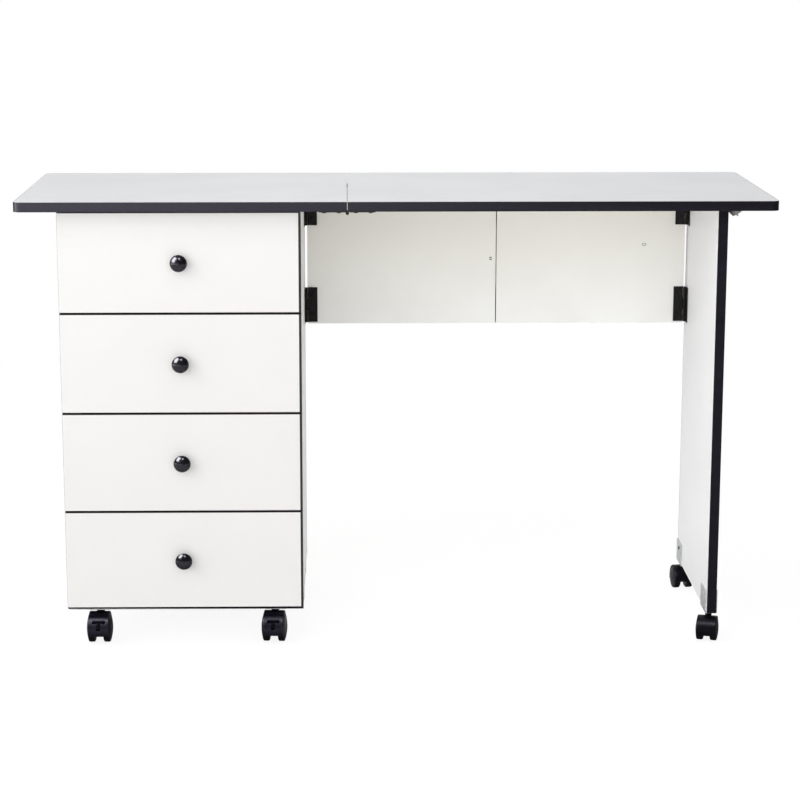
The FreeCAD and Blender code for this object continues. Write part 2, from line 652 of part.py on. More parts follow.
gate_height = "Dims.gate_hinge_height"
gate_screws = [("Dims.gate_hinge_width * 0.6", gate_height + " * %s" % part)
               for part in ("0.2", "0.8")]
gate_low, gate_high = "Layout.gate_hinge_low", "Layout.gate_hinge_high"


def gate_leaves(name, pin_x, pin_y, own, axis=None, angle=0, upside=False):
    """Upper and lower leaf on one upright pin line; upside when the turn points Z down."""
    rise = " + " + gate_height if upside else ""
    spots = [(pin_x, pin_y, z + rise) for z in (gate_low, gate_high)]
    hinge_set(name, gate_height, "Dims.gate_hinge_width", 3, own, gate_screws, spots, axis, angle)


def gate_pins(name, pin_x, pin_y):
    group(name, [cylinder("%s_%d" % (name, i + 1), (pin_x, pin_y, z), "Dims.pin_radius", gate_height)
                 for i, z in enumerate((gate_low, gate_high))])


gate_leaves("cabinet_hinge_leaves", "Layout.gate_pin_x", "Layout.gate_pin_y", 0, (1, -1, 0), 180, True)
gate_leaves("apron_left_hinge_leaves", "Layout.gate_pin_x", "Layout.gate_pin_y", 1)
gate_leaves("apron_left_fold_leaves", "Layout.fold_pin_x", "Layout.fold_pin_y", 0, (0, 0, 1), 180)
gate_leaves("apron_right_fold_leaves", "Layout.fold_pin_x", "Layout.fold_pin_y", 1, (1, 0, 0), 180, True)
gate_leaves("apron_right_hinge_leaves", "Layout.leg_pin_x", "Layout.gate_pin_y", 1, (0, 1, 0), 180, True)
gate_leaves("leg_hinge_leaves", "Layout.leg_pin_x", "Layout.gate_pin_y", 0, (0, 0, 1), -90)
gate_pins("cabinet_hinge_pins", "Layout.gate_pin_x", "Layout.gate_pin_y")
gate_pins("fold_hinge_pins", "Layout.fold_pin_x", "Layout.fold_pin_y")
gate_pins("leg_hinge_pins", "Layout.leg_pin_x", "Layout.gate_pin_y")

seam_length = "Dims.seam_hinge_length"
seam_screws = [(at, seam_length + " / 2") for at in ("Dims.seam_screw_near", "Dims.seam_screw_far")]
seam_spots = ("Layout.front + Dims.seam_hinge_inset",
              "Layout.back - Dims.seam_hinge_rear - " + seam_length)
# Turned so that the pin lies along Y and the board is above the plate.
fixed_turn = FreeCAD.Rotation(FreeCAD.Vector(-1, 0, 0), FreeCAD.Vector(0, 0, 1), FreeCAD.Vector(0, 1, 0))
hinge_set("top_hinge_leaves", seam_length, "Dims.seam_hinge_width", 3, 0, seam_screws,
          [("Layout.seam", y, "Layout.seam_pin_z") for y in seam_spots],
          tuple(fixed_turn.Axis), math.degrees(fixed_turn.Angle))
hinge_set("leaf_hinge_leaves", seam_length, "Dims.seam_hinge_width", 3, 1, seam_screws,
          [("Layout.seam", y + " + " + seam_length, "Layout.seam_pin_z") for y in seam_spots],
          (1, 0, 0), 90)
group("leaf_hinge_pins", [
    cylinder("leaf_hinge_pin_%d" % (i + 1), ("Layout.seam", y, "Layout.seam_pin_z"),
             "Dims.pin_radius", seam_length, (1, 0, 0), -90) for i, y in enumerate(seam_spots)])

# ---- spring catch under the leaf, just outside the leg panel --------------------------------------

catch = new_body("leaf_catch")
profile = new_sketch(catch, "leaf_catch_profile", "XZ_Plane")
strip = "Dims.catch_strip"
outline(profile, [
    ("0", "-Dims.catch_lip"),
    (strip, "-Dims.catch_lip"),
    ("Dims.catch_peak", "-Dims.catch_drop"),
    ("Dims.catch_foot", "-" + strip),
    ("Dims.catch_length", "-" + strip),
    ("Dims.catch_length", "0"),
    ("Dims.catch_foot - %s / 2" % strip, "0"),
    ("Dims.catch_peak", "-Dims.catch_drop + 1.5 * " + strip),
    ("1.5 * " + strip, "-Dims.catch_lip + " + strip),
    ("0", "-Dims.catch_lip + " + strip),
])
pad(catch, profile, "Dims.catch_width")
place(catch, ("Layout.leg_out + Dims.catch_play",
              "Layout.face + Dims.catch_inset + Dims.catch_width", "Layout.under"))
node(catch, "leaf_catch")

# ---- castor saddles and plates ---------------------------------------------------------------------


def saddle(name, base_y):
    """Steel saddle folded round the leg panel's lower edge; its bends are as round as it is thick."""
    body = new_body(name)
    sketch = new_sketch(body, name + "_section", "XZ_Plane")
    wall = "Dims.saddle_plate"
    outline(sketch, [
        ("-" + wall, "0", wall, 1),
        ("0", "-" + wall),
        ("Dims.board", "-" + wall, wall, 1),
        ("Dims.board + " + wall, "0"),
        ("Dims.board + " + wall, "Dims.saddle_wing"),
        ("Dims.board", "Dims.saddle_wing"),
        ("Dims.board", "0"),
        ("0", "0"),
        ("0", "Dims.saddle_wing"),
        ("-" + wall, "Dims.saddle_wing"),
    ])
    pad(body, sketch, "Dims.saddle_depth")
    screws = new_sketch(body, name + "_screws", "YZ_Plane")
    circle(screws, ("-Dims.saddle_depth * 0.6", "Dims.saddle_wing * 0.72"), "Dims.screw_hole")
    pocket(body, screws)
    place(body, ("Layout.leg_in", base_y + " + Dims.saddle_depth", "Dims.leg_floor_gap"))
    return body


saddle_front = "Layout.face + Dims.leg_castor_inset - Dims.saddle_depth / 2"
saddle_rear = "Layout.apron_back - Dims.leg_castor_rear - Dims.saddle_depth / 2"
group("leg_saddles", [saddle("saddle_front", saddle_front), saddle("saddle_rear", saddle_rear)])


def castor_mount(name, stem_x, stem_y, plate_z, size, plate_side, plate_thickness):
    """Square fixing plate with the steel stem that the castor turns on."""
    body = new_body(name)
    sketch = new_sketch(body, name + "_plate", "XY_Plane")
    half = "(%s / 2)" % plate_side
    outline(sketch, [("-" + half, "-" + half), (half, "-" + half), (half, half), ("-" + half, half)])
    pad(body, sketch, plate_thickness)
    round_edges(body, plate_side + " / 8", upright)
    stem = new_sketch(body, name + "_stem", "XY_Plane")
    circle(stem, ("0", "0"), "Dims.%s_stem" % size)
    length = "(%s - Dims.%s_wheel)" % (plate_z, size)
    rod = pad(body, stem, length)
    rod.Reversed = True
    place(body, (stem_x, stem_y, plate_z))
    return body


cabinet_castors = (
    ("castor_front_left", "(Layout.cab_left + Dims.castor_inset)",
     "(Layout.face + Dims.castor_setback)", -1),
    ("castor_front_right", "(Layout.cab_right - Dims.castor_inset_right)",
     "(Layout.face + Dims.castor_setback)", -4),
    ("castor_rear_left", "(Layout.cab_left + Dims.castor_inset)",
     "(Layout.cab_back - Dims.castor_setback)", 172),
    ("castor_rear_right", "(Layout.cab_right - Dims.castor_inset_right)",
     "(Layout.cab_back - Dims.castor_setback)", 186),
)
leg_castors = (
    ("castor_leg_front", "(Layout.leg_in + Dims.board / 2)",
     "(Layout.face + Dims.leg_castor_inset)", -15),
    ("castor_leg_rear", "(Layout.leg_in + Dims.board / 2)",
     "(Layout.apron_back - Dims.leg_castor_rear)", 188),
)
group("castor_plates", [
    castor_mount(name + "_mount", x, y, "Layout.plate_under", "big", "Dims.castor_plate_side",
                 "Dims.castor_plate") for name, x, y, turn in cabinet_castors])
group("leg_castor_stems", [
    cylinder(name + "_stem", (x, y, "Dims.small_wheel"), "Dims.small_stem",
             "Layout.saddle_under - Dims.small_wheel") for name, x, y, turn in leg_castors])

# ---- castors ---------------------------------------------------------------------------------------
# A castor's own frame: the axle runs along X through the origin and the stem stands at +Y.


def castor_hood(name, size, collar_top):
    """Moulded hood: a drum turned about the axle, hollowed for both wheels, open below, with the
    collar for the stem behind it."""
    def d(word):
        return "Dims.%s_%s" % (size, word)

    body = new_body(name)
    drum = new_sketch(body, name + "_drum", "XY_Plane")
    shoulder = "(%s - %s)" % (d("hood"), d("hood_round"))
    side = "(%s - %s)" % (d("hood_half"), d("hood_round"))
    outline(drum, [
        ("-" + d("hood_half"), "0"),
        (d("hood_half"), "0"),
        (d("hood_half"), shoulder, d("hood_round"), 1),
        (side, d("hood")),
        ("-" + side, d("hood"), d("hood_round"), 1),
        ("-" + d("hood_half"), shoulder),
    ])
    revolve(body, drum, "H_Axis")
    well = "(%s + Dims.well_play)" % d("wheel")
    for sign, word in (("", "right"), ("-", "left")):
        pit = new_sketch(body, "%s_well_%s" % (name, word), "YZ_Plane", sign + d("web"))
        circle(pit, ("0", "0"), well)
        pocket(body, pit, d("half_width"), flip=(sign == ""))
    lower = "(%s - %s)" % (d("web_floor_gap"), d("wheel"))
    reach = "(%s + Dims.collar_extra)" % d("hood")
    collar = new_sketch(body, name + "_collar", "XY_Plane")
    circle(collar, ("0", d("trail")), d("web"))
    pad(body, collar, collar_top)
    opening = new_sketch(body, name + "_opening", "YZ_Plane")
    outline(opening, [
        ("-" + reach, "-" + reach),
        (reach, "-" + reach),
        (reach, "0"),
        (d("trail"), "0"),
        ("%s * 0.45" % d("wheel"), lower),
        ("-" + reach, lower),
    ])
    pocket(body, opening)
    bore = new_sketch(body, name + "_bore", "XY_Plane", collar_top)
    circle(bore, ("0", d("trail")), "%s + Dims.stem_play" % d("stem"))
    pocket(body, bore, collar_top)
    axle = new_sketch(body, name + "_axle", "YZ_Plane")
    circle(axle, ("0", "0"), "%s + Dims.axle_play" % d("axle"))
    pocket(body, axle)
    return body


def polar(radius, degrees):
    """Point of the YZ plane on the hood's trailing side, degrees above the axle."""
    return ("-(%s) * cos(%s)" % (radius, degrees), "(%s) * sin(%s)" % (radius, degrees))


def sector(body, name, inner, outer, low, high):
    """Sketch of a ring's piece between two radii and two angles above the axle."""
    sketch = new_sketch(body, name, "YZ_Plane")
    return outline(sketch, [
        polar(inner, low),
        polar(outer, low) + (outer, -1),
        polar(outer, high),
        polar(inner, high) + (inner, 1),
    ])


brake_pivot = polar("Dims.brake_pivot", "Dims.brake_pivot_angle")


def brake_slots(body, name):
    """Slot for the lever, wider one for its cross bar, and the trunnions' bore, cut in a hood."""
    play = "Dims.brake_play"
    room = "Dims.brake_bar_outer + Dims.collar_extra"
    slot = sector(body, name + "_slot", "Dims.brake_slot", room,
                  "Dims.brake_low - Dims.brake_swing", "Dims.brake_high + Dims.brake_rise")
    pocket(body, slot, "2 * (Dims.brake_half + %s)" % play, middle=True)
    wide = sector(body, name + "_wide_slot", "Dims.brake_bar_inner - " + play, room,
                  "Dims.brake_mid - Dims.brake_dip", "Dims.brake_high + Dims.brake_rise")
    pocket(body, wide, "2 * (Dims.brake_bar_half + %s)" % play, middle=True)
    bore = new_sketch(body, name + "_pivot", "YZ_Plane")
    circle(bore, brake_pivot, "Dims.brake_pin + Dims.pin_play")
    pocket(body, bore)


def brake_lever(name):
    """T-shaped foot lever: a bow sunk in the hood's slot, a proud cross bar and two trunnions."""
    body = new_body(name)
    bow = sector(body, name + "_bow", "Dims.brake_inner", "Dims.brake_outer",
                 "Dims.brake_low", "Dims.brake_high")
    pad(body, bow, "2 * Dims.brake_half", middle=True)
    boss = new_sketch(body, name + "_boss", "YZ_Plane")
    circle(boss, brake_pivot, "Dims.brake_boss")
    pad(body, boss, "2 * Dims.brake_half", middle=True)
    bar = sector(body, name + "_bar", "Dims.brake_bar_inner", "Dims.brake_bar_outer",
                 "Dims.brake_mid", "Dims.brake_high")
    pad(body, bar, "2 * Dims.brake_bar_half", middle=True)
    trunnions = new_sketch(body, name + "_trunnions", "YZ_Plane")
    circle(trunnions, brake_pivot, "Dims.brake_pin")
    pad(body, trunnions, "2 * Dims.big_web", middle=True)
    return body


def castor_wheel(name, size, sign):
    """One moulded wheel with a domed outer face and a blind hole for the axle."""
    def d(word):
        return "Dims.%s_%s" % (size, word)

    def out(expression):
        return "%d * (%s)" % (sign, expression)

    body = new_body(name)
    sketch = new_sketch(body, name + "_profile", "XY_Plane")
    inner = d("web") + " + " + d("wheel_play")
    outline(sketch, [
        (out(inner), d("axle")),
        (out(inner), "%s - %s" % (d("wheel"), d("inner_bevel"))),
        (out(inner + " + " + d("inner_bevel")), d("wheel")),
        (out(d("tread")), d("wheel")),
        (out(d("shoulder_half")), d("shoulder"), "Layout.%s_dome" % size, -sign),
        (out(d("half_width")), "0"),
        (out(d("half_width") + " - Dims.wheel_web"), "0"),
        (out(d("half_width") + " - Dims.wheel_web"), d("axle")),
    ])
    revolve(body, sketch, "H_Axis")
    return body


def castor(name, stem_x, stem_y, turn, size, collar_under, braked):
    """Hood, and the two wheels on their axle, turned about the stem by a rest angle."""
    axle_z = "Dims.%s_wheel" % size
    trail = "Dims.%s_trail" % size
    base = ("%s + %s * sin(%d)" % (stem_x, trail, turn), "%s - %s * cos(%d)" % (stem_y, trail, turn), axle_z)
    hood = castor_hood(name + "_hood", size, "(%s - %s - Dims.rest_gap)" % (collar_under, axle_z))
    if braked:
        brake_slots(hood, name + "_brake")
        lever = brake_lever(name + "_brake")
        place(lever, base, (0, 0, 1), turn)
        node(lever, name + "_brake")
    place(hood, base, (0, 0, 1), turn)
    node(hood, name + "_hood")
    wheels = []
    for word, sign in (("left", -1), ("right", 1)):
        wheel = castor_wheel("%s_wheel_%s" % (name, word), size, sign)
        place(wheel, base, (0, 0, 1), turn)
        wheels.append(wheel)
    rod = new_body(name + "_axle_rod")
    section = new_sketch(rod, name + "_axle_section", "YZ_Plane")
    circle(section, ("0", "0"), "Dims.%s_axle - Dims.axle_play / 2" % size)
    pad(rod, section, "2 * (Dims.%s_half_width - Dims.wheel_web)" % size, middle=True)
    place(rod, base, (0, 0, 1), turn)
    group(name + "_wheels", wheels + [rod])


for name, x, y, turn in cabinet_castors:
    castor(name, x, y, turn, "big", "Layout.plate_under", "front" in name)
for name, x, y, turn in leg_castors:
    castor(name, x, y, turn, "small", "Layout.saddle_under", False)

# ---- check and write ------------------------------------------------------------------------------

doc.recompute()
faults = [item.Name for item in doc.Objects if "Invalid" in item.State or "Error" in item.State]
faults += [item.Label for item in nodes if item.Shape.isNull() or not item.Shape.isValid()]
if faults:
    raise ValueError("failed objects: " + ", ".join(faults))

os.makedirs("parts", exist_ok=True)
for item in nodes:
    item.Shape.exportStep("parts/%s.step" % item.Label)
print("wrote %d sub-parts" % len(nodes))
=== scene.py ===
import bpy
import bmesh
import json
import math
from mathutils import Matrix, Vector


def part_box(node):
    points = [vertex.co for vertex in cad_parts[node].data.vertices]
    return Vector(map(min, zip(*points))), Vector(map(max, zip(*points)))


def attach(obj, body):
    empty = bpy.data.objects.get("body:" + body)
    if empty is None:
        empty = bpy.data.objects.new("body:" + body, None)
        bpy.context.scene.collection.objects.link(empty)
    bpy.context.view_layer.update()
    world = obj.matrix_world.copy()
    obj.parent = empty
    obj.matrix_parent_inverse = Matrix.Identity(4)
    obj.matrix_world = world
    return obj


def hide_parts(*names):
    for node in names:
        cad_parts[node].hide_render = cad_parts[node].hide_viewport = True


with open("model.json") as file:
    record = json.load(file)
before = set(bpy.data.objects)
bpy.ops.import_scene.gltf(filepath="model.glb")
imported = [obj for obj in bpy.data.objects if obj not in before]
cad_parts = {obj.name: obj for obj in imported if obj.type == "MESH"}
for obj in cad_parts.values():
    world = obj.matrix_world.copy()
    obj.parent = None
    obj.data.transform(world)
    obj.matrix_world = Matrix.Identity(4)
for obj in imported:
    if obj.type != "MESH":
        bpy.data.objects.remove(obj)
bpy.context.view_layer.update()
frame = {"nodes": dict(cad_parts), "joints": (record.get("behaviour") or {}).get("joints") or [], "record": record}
nodes = frame["nodes"]
joints = {joint["name"]: joint for joint in frame["joints"]}
scene = bpy.context.scene
print("frame loaded:", len(nodes), "nodes")


def colour(red, green, blue):
    # screen values, 0 to 255, as the linear values that the shaders take
    return [((v / 255 + 0.055) / 1.055) ** 2.4 for v in (red, green, blue)] + [1.0]


def put(tree, kind, inputs=None, **settings):
    # one node; a value that is a socket gets linked, any other is written on the socket
    made = tree.nodes.new("ShaderNode" + kind)
    for key, value in settings.items():
        setattr(made, key, value)
    for key, value in (inputs or {}).items():
        if isinstance(value, bpy.types.NodeSocket):
            tree.links.new(value, made.inputs[key])
        else:
            made.inputs[key].default_value = value
    return made


def sums(tree, operation, *values, clamp=False):
    # a Math node over numbers and sockets
    made = put(tree, "Math", dict(enumerate(values)), operation=operation, use_clamp=clamp)
    return made.outputs[0]


def spread(tree, value, fromLow, fromHigh, low=0.0, high=1.0):
    # value brought from one range to another and held there
    return put(tree, "MapRange", {"Value": value, "From Min": fromLow, "From Max": fromHigh,
                                  "To Min": low, "To Max": high}).outputs[0]


def blendColour(tree, mask, first, second):
    made = put(tree, "Mix", {0: mask}, data_type="RGBA")
    for slot, value in ((6, first), (7, second)):
        if isinstance(value, bpy.types.NodeSocket):
            tree.links.new(value, made.inputs[slot])
        else:
            made.inputs[slot].default_value = value
    return made.outputs[2]


def newGroup(name, inputs, outputs):
    tree = bpy.data.node_groups.new(name, "ShaderNodeTree")
    for label, kind, start in inputs:
        socket = tree.interface.new_socket(label, in_out="INPUT", socket_type="NodeSocket" + kind)
        socket.default_value = start
    for label, kind in outputs:
        tree.interface.new_socket(label, in_out="OUTPUT", socket_type="NodeSocket" + kind)
    return tree, tree.nodes.new("NodeGroupInput"), tree.nodes.new("NodeGroupOutput")


def useGroup(tree, group, values):
    made = tree.nodes.new("ShaderNodeGroup")
    made.node_tree = group
    for key, value in values.items():
        made.inputs[key].default_value = value
    return made


# sawn and moulded edges are never quite sharp: a softened normal, and a mask of where it turns
edgeLook = {"samples": 6, "mask": (0.995, 0.86)}  # how alike the normals are at mask 0 and 1
edgeGroup, groupIn, groupOut = newGroup(
    "roundedEdge", [("Radius", "Float", 0.0005)], [("Normal", "Vector"), ("Edge", "Float")])
bevel = put(edgeGroup, "Bevel", {"Radius": groupIn.outputs[0]}, samples=edgeLook["samples"])
flat = put(edgeGroup, "NewGeometry")
turned = put(edgeGroup, "VectorMath", {0: bevel.outputs[0], 1: flat.outputs["Normal"]},
             operation="DOT_PRODUCT")
edgeMask = spread(edgeGroup, turned.outputs["Value"], *edgeLook["mask"])
edgeGroup.links.new(bevel.outputs[0], groupOut.inputs[0])
edgeGroup.links.new(edgeMask, groupOut.inputs[1])

# fine and broad unevenness, sized in metres
mottleLook = {"detail": {"Fine Size": 2.0, "Broad Size": 3.0}, "roughness": 0.55}
mottleGroup, groupIn, groupOut = newGroup(
    "boardMottle",
    [("Fine Size", "Float", 0.0006), ("Broad Size", "Float", 0.12),
     ("Stretch", "Vector", (1, 1, 1))],
    [("Fine", "Float"), ("Broad", "Float")])
places = put(mottleGroup, "TexCoord")
stretched = put(mottleGroup, "VectorMath",
                {0: places.outputs["Object"], 1: groupIn.outputs["Stretch"]}, operation="MULTIPLY")
for slot, (size, detail) in enumerate(mottleLook["detail"].items()):
    scale = sums(mottleGroup, "DIVIDE", 1.0, groupIn.outputs[size])
    noise = put(mottleGroup, "TexNoise", {"Vector": stretched.outputs[0], "Scale": scale,
                                          "Detail": detail, "Roughness": mottleLook["roughness"]})
    mottleGroup.links.new(noise.outputs[0], groupOut.inputs[slot])

# small shallow scratches that lie all ways, for metal and moulded parts
scratchLook = {
    "turns": (0.4, 1.9), "turnShares": (1.0, 0.7, 1.3), "stretch": (1.0, 14.0, 1.0),
    "thin": (0.64, 0.72),
}
scratchGroup, groupIn, groupOut = newGroup(
    "handlingMarks", [("Size", "Float", 0.006), ("Amount", "Float", 0.4)], [("Marks", "Float")])
places = put(scratchGroup, "TexCoord")
marks = None
for turn in scratchLook["turns"]:
    tilted = put(scratchGroup, "Mapping", {
        "Vector": places.outputs["Object"], "Scale": scratchLook["stretch"],
        "Rotation": [turn * share for share in scratchLook["turnShares"]]})
    scale = sums(scratchGroup, "DIVIDE", 1.0, groupIn.outputs["Size"])
    line = put(scratchGroup, "TexNoise", {"Vector": tilted.outputs[0], "Scale": scale,
                                          "Detail": 1.0})
    thin = spread(scratchGroup, line.outputs[0], *scratchLook["thin"])
    marks = thin if marks is None else sums(scratchGroup, "MAXIMUM", marks, thin)
scratchGroup.links.new(sums(scratchGroup, "MULTIPLY", marks, groupIn.outputs["Amount"]),
                       groupOut.inputs[0])
print("shared effects ready")


# how every finish lays the shared effects: the part of the noise that each one follows
surface = {
    "patches": (0.35, 0.65), "specks": (0.58, 0.72), "touched": (0.3, 0.7, 0.4, 1.0),
    "gloss": (0.8, 1.2), "marks": 0.12,
}


def makeFinish(name, look, extra=None):
    # look has two colours, and in metres the fine and broad sizes of its unevenness, the bump's
    # height and the edges' radius; worn is the colour that shows where edges are rubbed
    # extra(tree, colour, roughness) may lay bands or stains over the finish and gives both back
    material = bpy.data.materials.new(name)
    material.use_nodes = True
    tree = material.node_tree
    shader = tree.nodes["Principled BSDF"]
    mottle = useGroup(tree, mottleGroup, {"Fine Size": look["fine"], "Broad Size": look["broad"],
                                          "Stretch": look.get("stretch", (1, 1, 1))})
    edge = useGroup(tree, edgeGroup, {"Radius": look["edge"]})
    patches = spread(tree, mottle.outputs["Broad"], *surface["patches"])
    paint = blendColour(tree, patches, look["base"], look["shade"])
    if "speck" in look:
        specks = spread(tree, mottle.outputs["Fine"], *surface["specks"])
        paint = blendColour(tree, specks, paint, look["speck"])
    if "worn" in look:
        touched = sums(tree, "MULTIPLY", edge.outputs["Edge"],
                       spread(tree, mottle.outputs["Broad"], *surface["touched"]))
        wear = sums(tree, "MULTIPLY", touched, look["wear"])
        paint = blendColour(tree, wear, paint, look["worn"])
    rough = spread(tree, sums(tree, "ADD", mottle.outputs["Broad"], mottle.outputs["Fine"]),
                   *surface["gloss"], *look["roughness"])
    if "marks" in look:
        scratched = useGroup(tree, scratchGroup, {"Size": look["marks"],
                                                  "Amount": surface["marks"]})
        rough = sums(tree, "ADD", rough, scratched.outputs[0], clamp=True)
    if extra:
        paint, rough = extra(tree, paint, rough)
    bump = put(tree, "Bump", {"Strength": look.get("relief", 0.5), "Distance": look["bump"],
                              "Height": mottle.outputs["Fine"], "Normal": edge.outputs["Normal"]})
    tree.links.new(paint, shader.inputs["Base Color"])
    tree.links.new(rough, shader.inputs["Roughness"])
    tree.links.new(bump.outputs[0], shader.inputs["Normal"])
    shader.inputs["Metallic"].default_value = look.get("metallic", 0.0)
    shader.inputs["Specular IOR Level"].default_value = look.get("specular", 0.5)
    shader.inputs["Specular Tint"].default_value = look.get("tint", (1.0, 1.0, 1.0, 1.0))
    return material


def alongAxis(tree, axis):
    places = put(tree, "TexCoord")
    return put(tree, "SeparateXYZ", {0: places.outputs["Object"]}).outputs[axis]


def nearPlane(tree, axis, position, reach):
    # 1 within reach of a plane across an axis
    away = sums(tree, "ABSOLUTE", sums(tree, "SUBTRACT", alongAxis(tree, axis), position))
    return sums(tree, "LESS_THAN", away, reach)


def facing(tree, axis, least=0.9):
    # 1 where the surface looks along an axis
    normal = put(tree, "SeparateXYZ", {0: put(tree, "NewGeometry").outputs["True Normal"]})
    return sums(tree, "GREATER_THAN", normal.outputs[axis], least)


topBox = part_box("table_top")
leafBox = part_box("leaf_board")
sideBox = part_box("cabinet_side_left")
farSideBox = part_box("cabinet_side_right")
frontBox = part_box("drawer_1_front")
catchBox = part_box("leaf_catch")
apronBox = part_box("apron_left_panel")

whiteBoard = {
    "fine": 0.0007, "broad": 0.16, "roughness": (0.36, 0.46), "bump": 0.00003, "edge": 0.0006,
    "specular": 0.35,
}
bandColour = colour(22, 20, 24)
bandDepth = {
    "seam": 0.0002, "cabinet": 0.0008, "frontLeft": 0.0003, "frontRight": 0.0025,
    "frontEnds": 0.0008, "fold": 0.0003,
    "rim": (0.0015, 0.0003),  # how far above the lower rim the cabinet's band ends, left and right
}
seamX = (topBox[1].x + leafBox[0].x) / 2


def seamBand(tree, paint, rough):
    reach = (leafBox[0].x - topBox[1].x) / 2 + bandDepth["seam"]
    mask = nearPlane(tree, 0, seamX, reach)
    return blendColour(tree, mask, paint, bandColour), rough


def cabinetBand(tree, paint, rough):
    rim = spread(tree, alongAxis(tree, 0), sideBox[0].x, farSideBox[1].x, *bandDepth["rim"])
    height = sums(tree, "SUBTRACT", alongAxis(tree, 2), sideBox[0].z)
    mask = sums(tree, "MULTIPLY", nearPlane(tree, 1, sideBox[0].y, bandDepth["cabinet"]),
                sums(tree, "GREATER_THAN", height, rim))
    return blendColour(tree, mask, paint, bandColour), rough


def frontBand(tree, paint, rough):
    # banding on all four edges of each drawer front
    places = put(tree, "TexCoord")
    parts = put(tree, "SeparateXYZ", {0: places.outputs["Generated"]})
    size = frontBox[1] - frontBox[0]
    across, upwards = parts.outputs[0], parts.outputs[2]
    left = sums(tree, "LESS_THAN", across, bandDepth["frontLeft"] / size.x)
    right = sums(tree, "GREATER_THAN", across, 1.0 - bandDepth["frontRight"] / size.x)
    ends = sums(tree, "LESS_THAN", sums(tree, "PINGPONG", upwards, 0.5),
                bandDepth["frontEnds"] / size.z)
    mask = sums(tree, "MAXIMUM", ends, sums(tree, "MAXIMUM", left, right))
    return blendColour(tree, mask, paint, bandColour), rough


# painted shade under the top: the warmer, darker colour near the apron's upper edge; and the fold's band
apronPaintedShadeAndFold = {"warm": colour(243, 240, 224), "warmth": 0.6, "foldLine": colour(70, 68, 64)}


def paintedShadeAndFold(tree, paint, rough):
    # the apron is painted warmer and darker close under the top, as painted shade from the top, and its fold's
    # edges are banded
    high = spread(tree, alongAxis(tree, 2), apronBox[0].z, apronBox[1].z)
    warm = blendColour(tree, sums(tree, "MULTIPLY", high, apronPaintedShadeAndFold["warmth"]), paint,
                       apronPaintedShadeAndFold["warm"])
    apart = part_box("apron_right_panel")[0].x - apronBox[1].x
    fold = nearPlane(tree, 0, apronBox[1].x + apart / 2, apart / 2 + bandDepth["fold"])
    return blendColour(tree, fold, warm, apronPaintedShadeAndFold["foldLine"]), rough


# painted light and shade: the white laminate comes as copies, the drawer fronts painted darker and the cabinet's
# right side and the leg painted lighter, for how much light falls on each
topFinish = makeFinish("topLaminate", {
    **whiteBoard, "base": colour(239, 240, 242), "shade": colour(237, 238, 240)}, seamBand)
cabinetFinish = makeFinish("cabinetLaminate", {
    **whiteBoard, "base": colour(238, 239, 240), "shade": colour(236, 237, 238),
    "specular": 0.12}, cabinetBand)
sidePaintedLightFinish = makeFinish("sideLaminatePaintedLight", {
    **whiteBoard, "base": colour(250, 249, 247), "shade": colour(248, 247, 245)}, cabinetBand)
legPaintedLightFinish = makeFinish("legLaminatePaintedLight", {
    **whiteBoard, "base": colour(252, 252, 254), "shade": colour(250, 250, 252), "specular": 0.5})
frontPaintedShadeFinish = makeFinish("drawerFrontLaminatePaintedShade", {
    **whiteBoard, "base": colour(232, 231, 230), "shade": colour(230, 229, 228),
    "broad": 0.2}, frontBand)
# painted light: the apron's laminate is lighter than the top's, with the painted shade under the top laid over it
apronPaintedLightAndShadeFinish = makeFinish("apronLaminatePaintedLightAndShade", {
    **whiteBoard, "base": colour(249, 249, 247), "shade": colour(246, 245, 243),
    "broad": 0.1}, paintedShadeAndFold)
indigo = (0.84, 0.8, 1.0, 1.0)  # what the black plastics add to a reflection
edgingLook = {
    "base": colour(20, 18, 24), "shade": colour(25, 23, 30), "fine": 0.0011, "broad": 0.03,
    "stretch": (0.12, 0.12, 1.6), "roughness": (0.2, 0.25), "bump": 0.00002, "edge": 0.0009,
    "worn": colour(66, 64, 74), "wear": 0.22, "specular": 0.36, "tint": indigo,
}
rimColour = colour(214, 215, 217)


def laminateRim(tree, paint, rough):
    # the laminate laps over the strip's upper rim
    return blendColour(tree, facing(tree, 2), paint, rimColour), rough


edgingFinish = makeFinish("edgingStrip", edgingLook, laminateRim)
legEdgingFinish = makeFinish("legEdgingStrip", {
    **edgingLook, "roughness": (0.36, 0.48), "specular": 0.13})

sawnEdge = {
    "above": 0.3,  # share of the box's height, so that its bottom panel stays foiled
    "chips": 420.0, "light": colour(196, 164, 122), "dark": colour(150, 112, 72),
}


def cells(tree, scale):
    # small cells all over a piece, each with a shade of its own
    places = put(tree, "TexCoord")
    found = put(tree, "TexVoronoi", {"Vector": places.outputs["Object"], "Scale": scale})
    return put(tree, "SeparateColor", {0: found.outputs["Color"]}).outputs[0]


def chipEdge(tree, paint, rough):
    # the boards' upper edges are sawn and show their chips
    height = put(tree, "SeparateXYZ", {0: put(tree, "TexCoord").outputs["Generated"]}).outputs[2]
    sawn = sums(tree, "MULTIPLY", facing(tree, 2),
                sums(tree, "GREATER_THAN", height, sawnEdge["above"]))
    core = blendColour(tree, cells(tree, sawnEdge["chips"]), sawnEdge["light"], sawnEdge["dark"])
    return blendColour(tree, sawn, paint, core), rough


boxFinish = makeFinish("drawerBoxFoil", {
    "base": colour(232, 230, 224), "shade": colour(226, 223, 215), "fine": 0.0009, "broad": 0.05,
    "stretch": (1.0, 0.2, 1.0), "roughness": (0.42, 0.55), "bump": 0.00005, "edge": 0.0004},
    chipEdge)

bareBack = {
    "fibres": 260.0, "detail": 6.0, "clumps": (0.35, 0.65), "light": colour(142, 104, 66),
    "dark": colour(118, 84, 52), "mirroredShade": 0.3,
}


